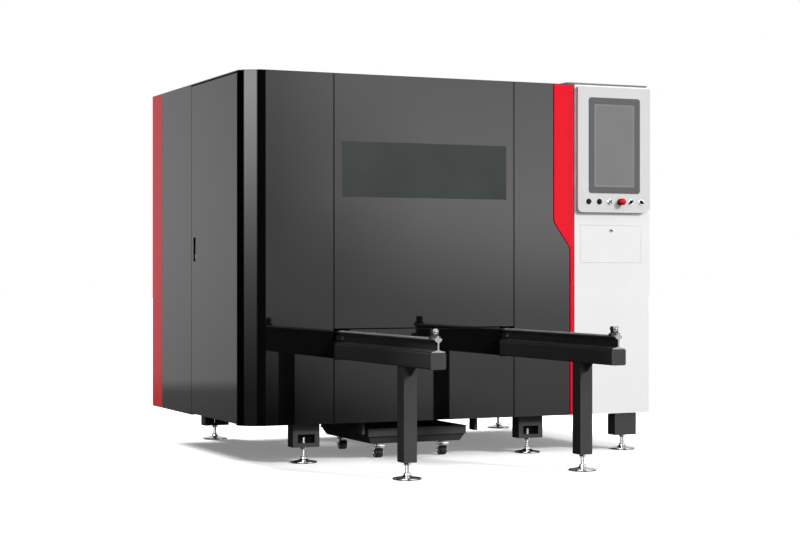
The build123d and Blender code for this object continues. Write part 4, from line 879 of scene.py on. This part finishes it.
def make_casters():
    for side, x in CASTER_X.items():
        for end, y in AXLE_Y.items():
            body = f"cart_wheel_{end}_{side}"
            bm = bmesh.new()
            turned(bm, TYRE, spot(x, y, AXLE_Z), RIGHT, 48)
            keep(f"{body}_tyre", bm, body, "wheel_rubber", [body])
            bm = bmesh.new()
            turned(bm, HUB, spot(x, y, AXLE_Z), RIGHT, 28)
            keep(f"{body}_hub", bm, body, "zinc_steel")
        fork = f"swivel_fork_{side}"
        bm = bmesh.new()
        turned(bm, RACE, spot(x, SWIVEL_Y, 0), UP, 40)
        make_fork(bm, x, SWIVEL_Y, AXLE_Y["front"], SWIVEL_CROWN_TOP)
        keep(f"{fork}_pressing", bm, fork, "chrome_steel", [fork])
        bm = bmesh.new()
        make_fork(bm, x, AXLE_Y["rear"], AXLE_Y["rear"], FIXED_CROWN_TOP)
        keep(f"fixed_fork_{side}_pressing", bm, "cart", "chrome_steel")


def make_cart_beads():
    """Rolled beads round the tray, at its waist and along its rim."""
    for name, height in BEADS.items():
        bm = bmesh.new()
        low = (*CART_LOW, height - BEAD_WIDTH)
        high = (*CART_HIGH, height + BEAD_WIDTH)
        ring_of_bars(bm, low, high, BEAD_WIDTH, 1.2, 1)
        keep(name, bm, "cart", "frame_black")


# Side door's handle
PAD_THICKNESS = 2.5
PAD_INSET = 1.0
PAD_FOOT = 2.0
PAD_TOP = 34.0


def make_handle():
    """Bright thumb pad on the lower end of the lever."""
    low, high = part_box("handle_lever")
    bm = bmesh.new()
    block(
        bm, low + Vector((0, PAD_INSET, PAD_FOOT)) * MM,
        Vector((low.x, high.y, low.z)) + Vector((PAD_THICKNESS, -PAD_INSET, PAD_TOP)) * MM, 0.8,
    )
    keep("handle_thumb_pad", bm, "side_handle", "chrome_steel")


# Rear face
REAR_FACE = 1655.0
VENT_X = 1812.75
VENT_HALF = 155.0
LOUVRES = 8
LOUVRE_BOTTOM = 428.0
LOUVRE_PITCH = 24.0
HOOD_SLOPE = 6.5
DUCT_X = 650.0
DUCT_Z = 480.0
DUCT_BOLTS = 8
BOLT_CIRCLE = 114.0
BOLT_WASHER = [(0, 1.8), (7.5, 1.8), (7.5, 0), (0, 0)]
DUCT_LIP = [(100, -1), (100, 3.5), (102, 5), (104.5, 3.5), (104.5, -1), (100, -1)]
GLAND_Z = 290.0
SCREW = [(0, 2.6), (3.5, 2.3), (5.6, 1.2), (6, 0), (0, 0)]
SCREW_COLUMNS = (92, 1209.5, 1255.5, 2373)
SCREW_ROWS = (240, 600, 960, 1320, 1680, 2034)
SCREWS_BETWEEN = (470, 850, 1620, 2000)


def make_vent_hoods():
    """Pressed hood over each louvre, sloping back to the panel at its top."""
    bm = bmesh.new()
    for row in range(LOUVRES):
        z = LOUVRE_BOTTOM + LOUVRE_PITCH * row
        low = spot(VENT_X - VENT_HALF, REAR_FACE - 1, z - 3)
        high = spot(VENT_X + VENT_HALF, REAR_FACE + 7, z + 9)
        hood = block(bm, low, high, 0)
        middle = (low + high) / 2
        for vert in hood:
            if vert.co.z > middle.z and vert.co.y > middle.y:
                vert.co.y -= HOOD_SLOPE * MM
        soften(bm, hood, 0.9, 2)
    keep("vent_hoods", bm, "machine", "panel_black")


def make_duct_trim():
    """Bolts of the duct's flange on their washers, and the rolled lip inside it."""
    bm = bmesh.new()
    for step in range(DUCT_BOLTS):
        angle = math.tau * (step + 0.5) / DUCT_BOLTS
        place = spot(
            DUCT_X + BOLT_CIRCLE * math.cos(angle), REAR_FACE - 0.5,
            DUCT_Z + BOLT_CIRCLE * math.sin(angle),
        )
        turned(bm, BOLT_WASHER, place, REAR, 20)
        prism(bm, place + Vector((0, 1.5, 0)) * MM, REAR, 6.5, 4.5, 0.7)
    keep("duct_flange_bolts", bm, "machine", "zinc_steel")
    bm = bmesh.new()
    turned(bm, DUCT_LIP, spot(DUCT_X, REAR_FACE, DUCT_Z), REAR, 72)
    keep("duct_lip", bm, "machine", "galvanised_sheet")


def make_cable_gland():
    """Hexagon base and a ribbed cap that narrows to its closed mouth."""
    place = spot(VENT_X, REAR_FACE - 0.5, GLAND_Z)
    cap = [(0, 6), (15.5, 6), (15.5, 7)]
    for rib in range(3):
        cap += [(16.5, 7.4 + rib * 2), (16.5, 8.4 + rib * 2), (15.5, 8.8 + rib * 2)]
    cap += [(14, 14), (10.5, 15.5), (7.5, 15.5), (7, 13), (0, 13)]
    bm = bmesh.new()
    prism(bm, place, REAR, 20, 6, 1.2)
    turned(bm, cap, place, REAR, 36)
    keep("cable_gland", bm, "machine", "switch_black")


def make_rear_screws():
    """Round-headed screws down the sides of both rear panels and along their ends."""
    places = [(x, z) for x in SCREW_COLUMNS for z in SCREW_ROWS]
    places += [(x, z) for x in SCREWS_BETWEEN for z in (SCREW_ROWS[0], SCREW_ROWS[-1])]
    bm = bmesh.new()
    for x, z in places:
        turned(bm, SCREW, spot(x, REAR_FACE - 0.2, z), REAR, 16)
    keep("rear_panel_screws", bm, "machine", "zinc_steel")


# End stops of the rails
STOP_X = {"left": 556.5, "right": 1538.5}
STOP_BOLT_Z = 733.0
STOP_FACE = -1177.0
STOP_BACK = -1140.0
BUFFER = [(5.4, 8), (8.5, 8), (9.5, 9), (9.5, 13), (8, 14), (5.4, 14), (5.4, 8)]
BOLT_END = [(0, 1.6), (3, 1.6), (5.2, 1.0), (6.6, 0), (6.6, -0.4), (0, -0.4)]
STOP_WASHER = [(8, 5.2), (12.4, 5.2), (13, 5.8), (13, 6.6), (12.4, 7.1), (8, 7.1), (8, 5.2)]
STOP_WASHER_BACK = 12.6


def make_rail_end_details():
    """Rubber tip and bright washers on the bolt of each end stop."""
    for side, x in STOP_X.items():
        bm = bmesh.new()
        turned(bm, BUFFER, spot(x, STOP_BACK, STOP_BOLT_Z), REAR, 32)
        keep(f"stop_buffer_{side}", bm, "machine", "wheel_rubber")
        bm = bmesh.new()
        turned(bm, BOLT_END, spot(x, STOP_FACE, STOP_BOLT_Z), FRONT, 28)
        turned(bm, STOP_WASHER, spot(x, STOP_FACE + STOP_WASHER_BACK, STOP_BOLT_Z), FRONT, 36)
        keep(f"stop_bolt_trim_{side}", bm, "machine", "zinc_steel")


# Cutting head and gantry, seen when the door is up
NOZZLE_NUT = [(13, 0), (17, 0), (19, 3), (20, 8), (20, 16), (18.4, 17), (13, 17), (13, 0)]
COLLAR = [(29, 0), (31, 0.8), (31, 4.2), (29, 5), (29, 0)]
COLLAR_RISES = (64, 72, 80, 197, 205)
PLATE_SCREW = [(0, 5), (4.6, 5), (5, 4.4), (5, 0), (0, 0)]
PLATE_SCREW_ROWS = (985, 1040, 1095)
PLATE_SCREW_REACH = 66
PLATE_BEHIND = 30
END_BOLT_ROWS = (0.985, 1.115)


def make_head_details():
    """Nozzle's nut, clamping collars round the head, and the screws of its plate."""
    low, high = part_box("cutting_nozzle")
    middle = ((low + high) / 2 - CORNER) / MM
    top = high.z / MM
    bm = bmesh.new()
    turned(bm, NOZZLE_NUT, spot(middle.x, middle.y, top + 1), UP, 40)
    for rise in COLLAR_RISES:
        turned(bm, COLLAR, spot(middle.x, middle.y, top + rise), UP, 48)
    keep("head_collars", bm, "cutting_head", "head_aluminium")
    bm = bmesh.new()
    for side in (-1, 1):
        for z in PLATE_SCREW_ROWS:
            x = middle.x + side * PLATE_SCREW_REACH
            turned(bm, PLATE_SCREW, spot(x, middle.y + PLATE_BEHIND, z), FRONT, 20)
    keep("head_plate_screws", bm, "cutting_head", "zinc_steel")


def make_gantry_details():
    """Bolts in the end plates of the gantry beam."""
    low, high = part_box("gantry_beam")
    bm = bmesh.new()
    for side, x in ((-1, low.x), (1, high.x)):
        for y in (low.y + 0.045, high.y - 0.025):
            for z in END_BOLT_ROWS:
                prism(bm, Vector((x - side * 0.1 * MM, y, z)), (side, 0, 0), 7, 4, 0.6)
    keep("gantry_end_bolts", bm, "gantry", "zinc_steel")


make_camera()
make_world()
make_lamp("key_lamp", *KEY_LAMP)
make_lamp("rear_lamp", *REAR_LAMP)
make_floor()
dress_nodes()
make_feet()
make_collars()
make_buttons()
make_selectors()
make_key()
make_flap_lock()
make_flap_seal()
make_casters()
make_cart_beads()
make_handle()
make_vent_hoods()
make_duct_trim()
make_cable_gland()
make_rear_screws()
make_rail_end_details()
make_head_details()
make_gantry_details()

scene.view_settings.view_transform = "Standard"
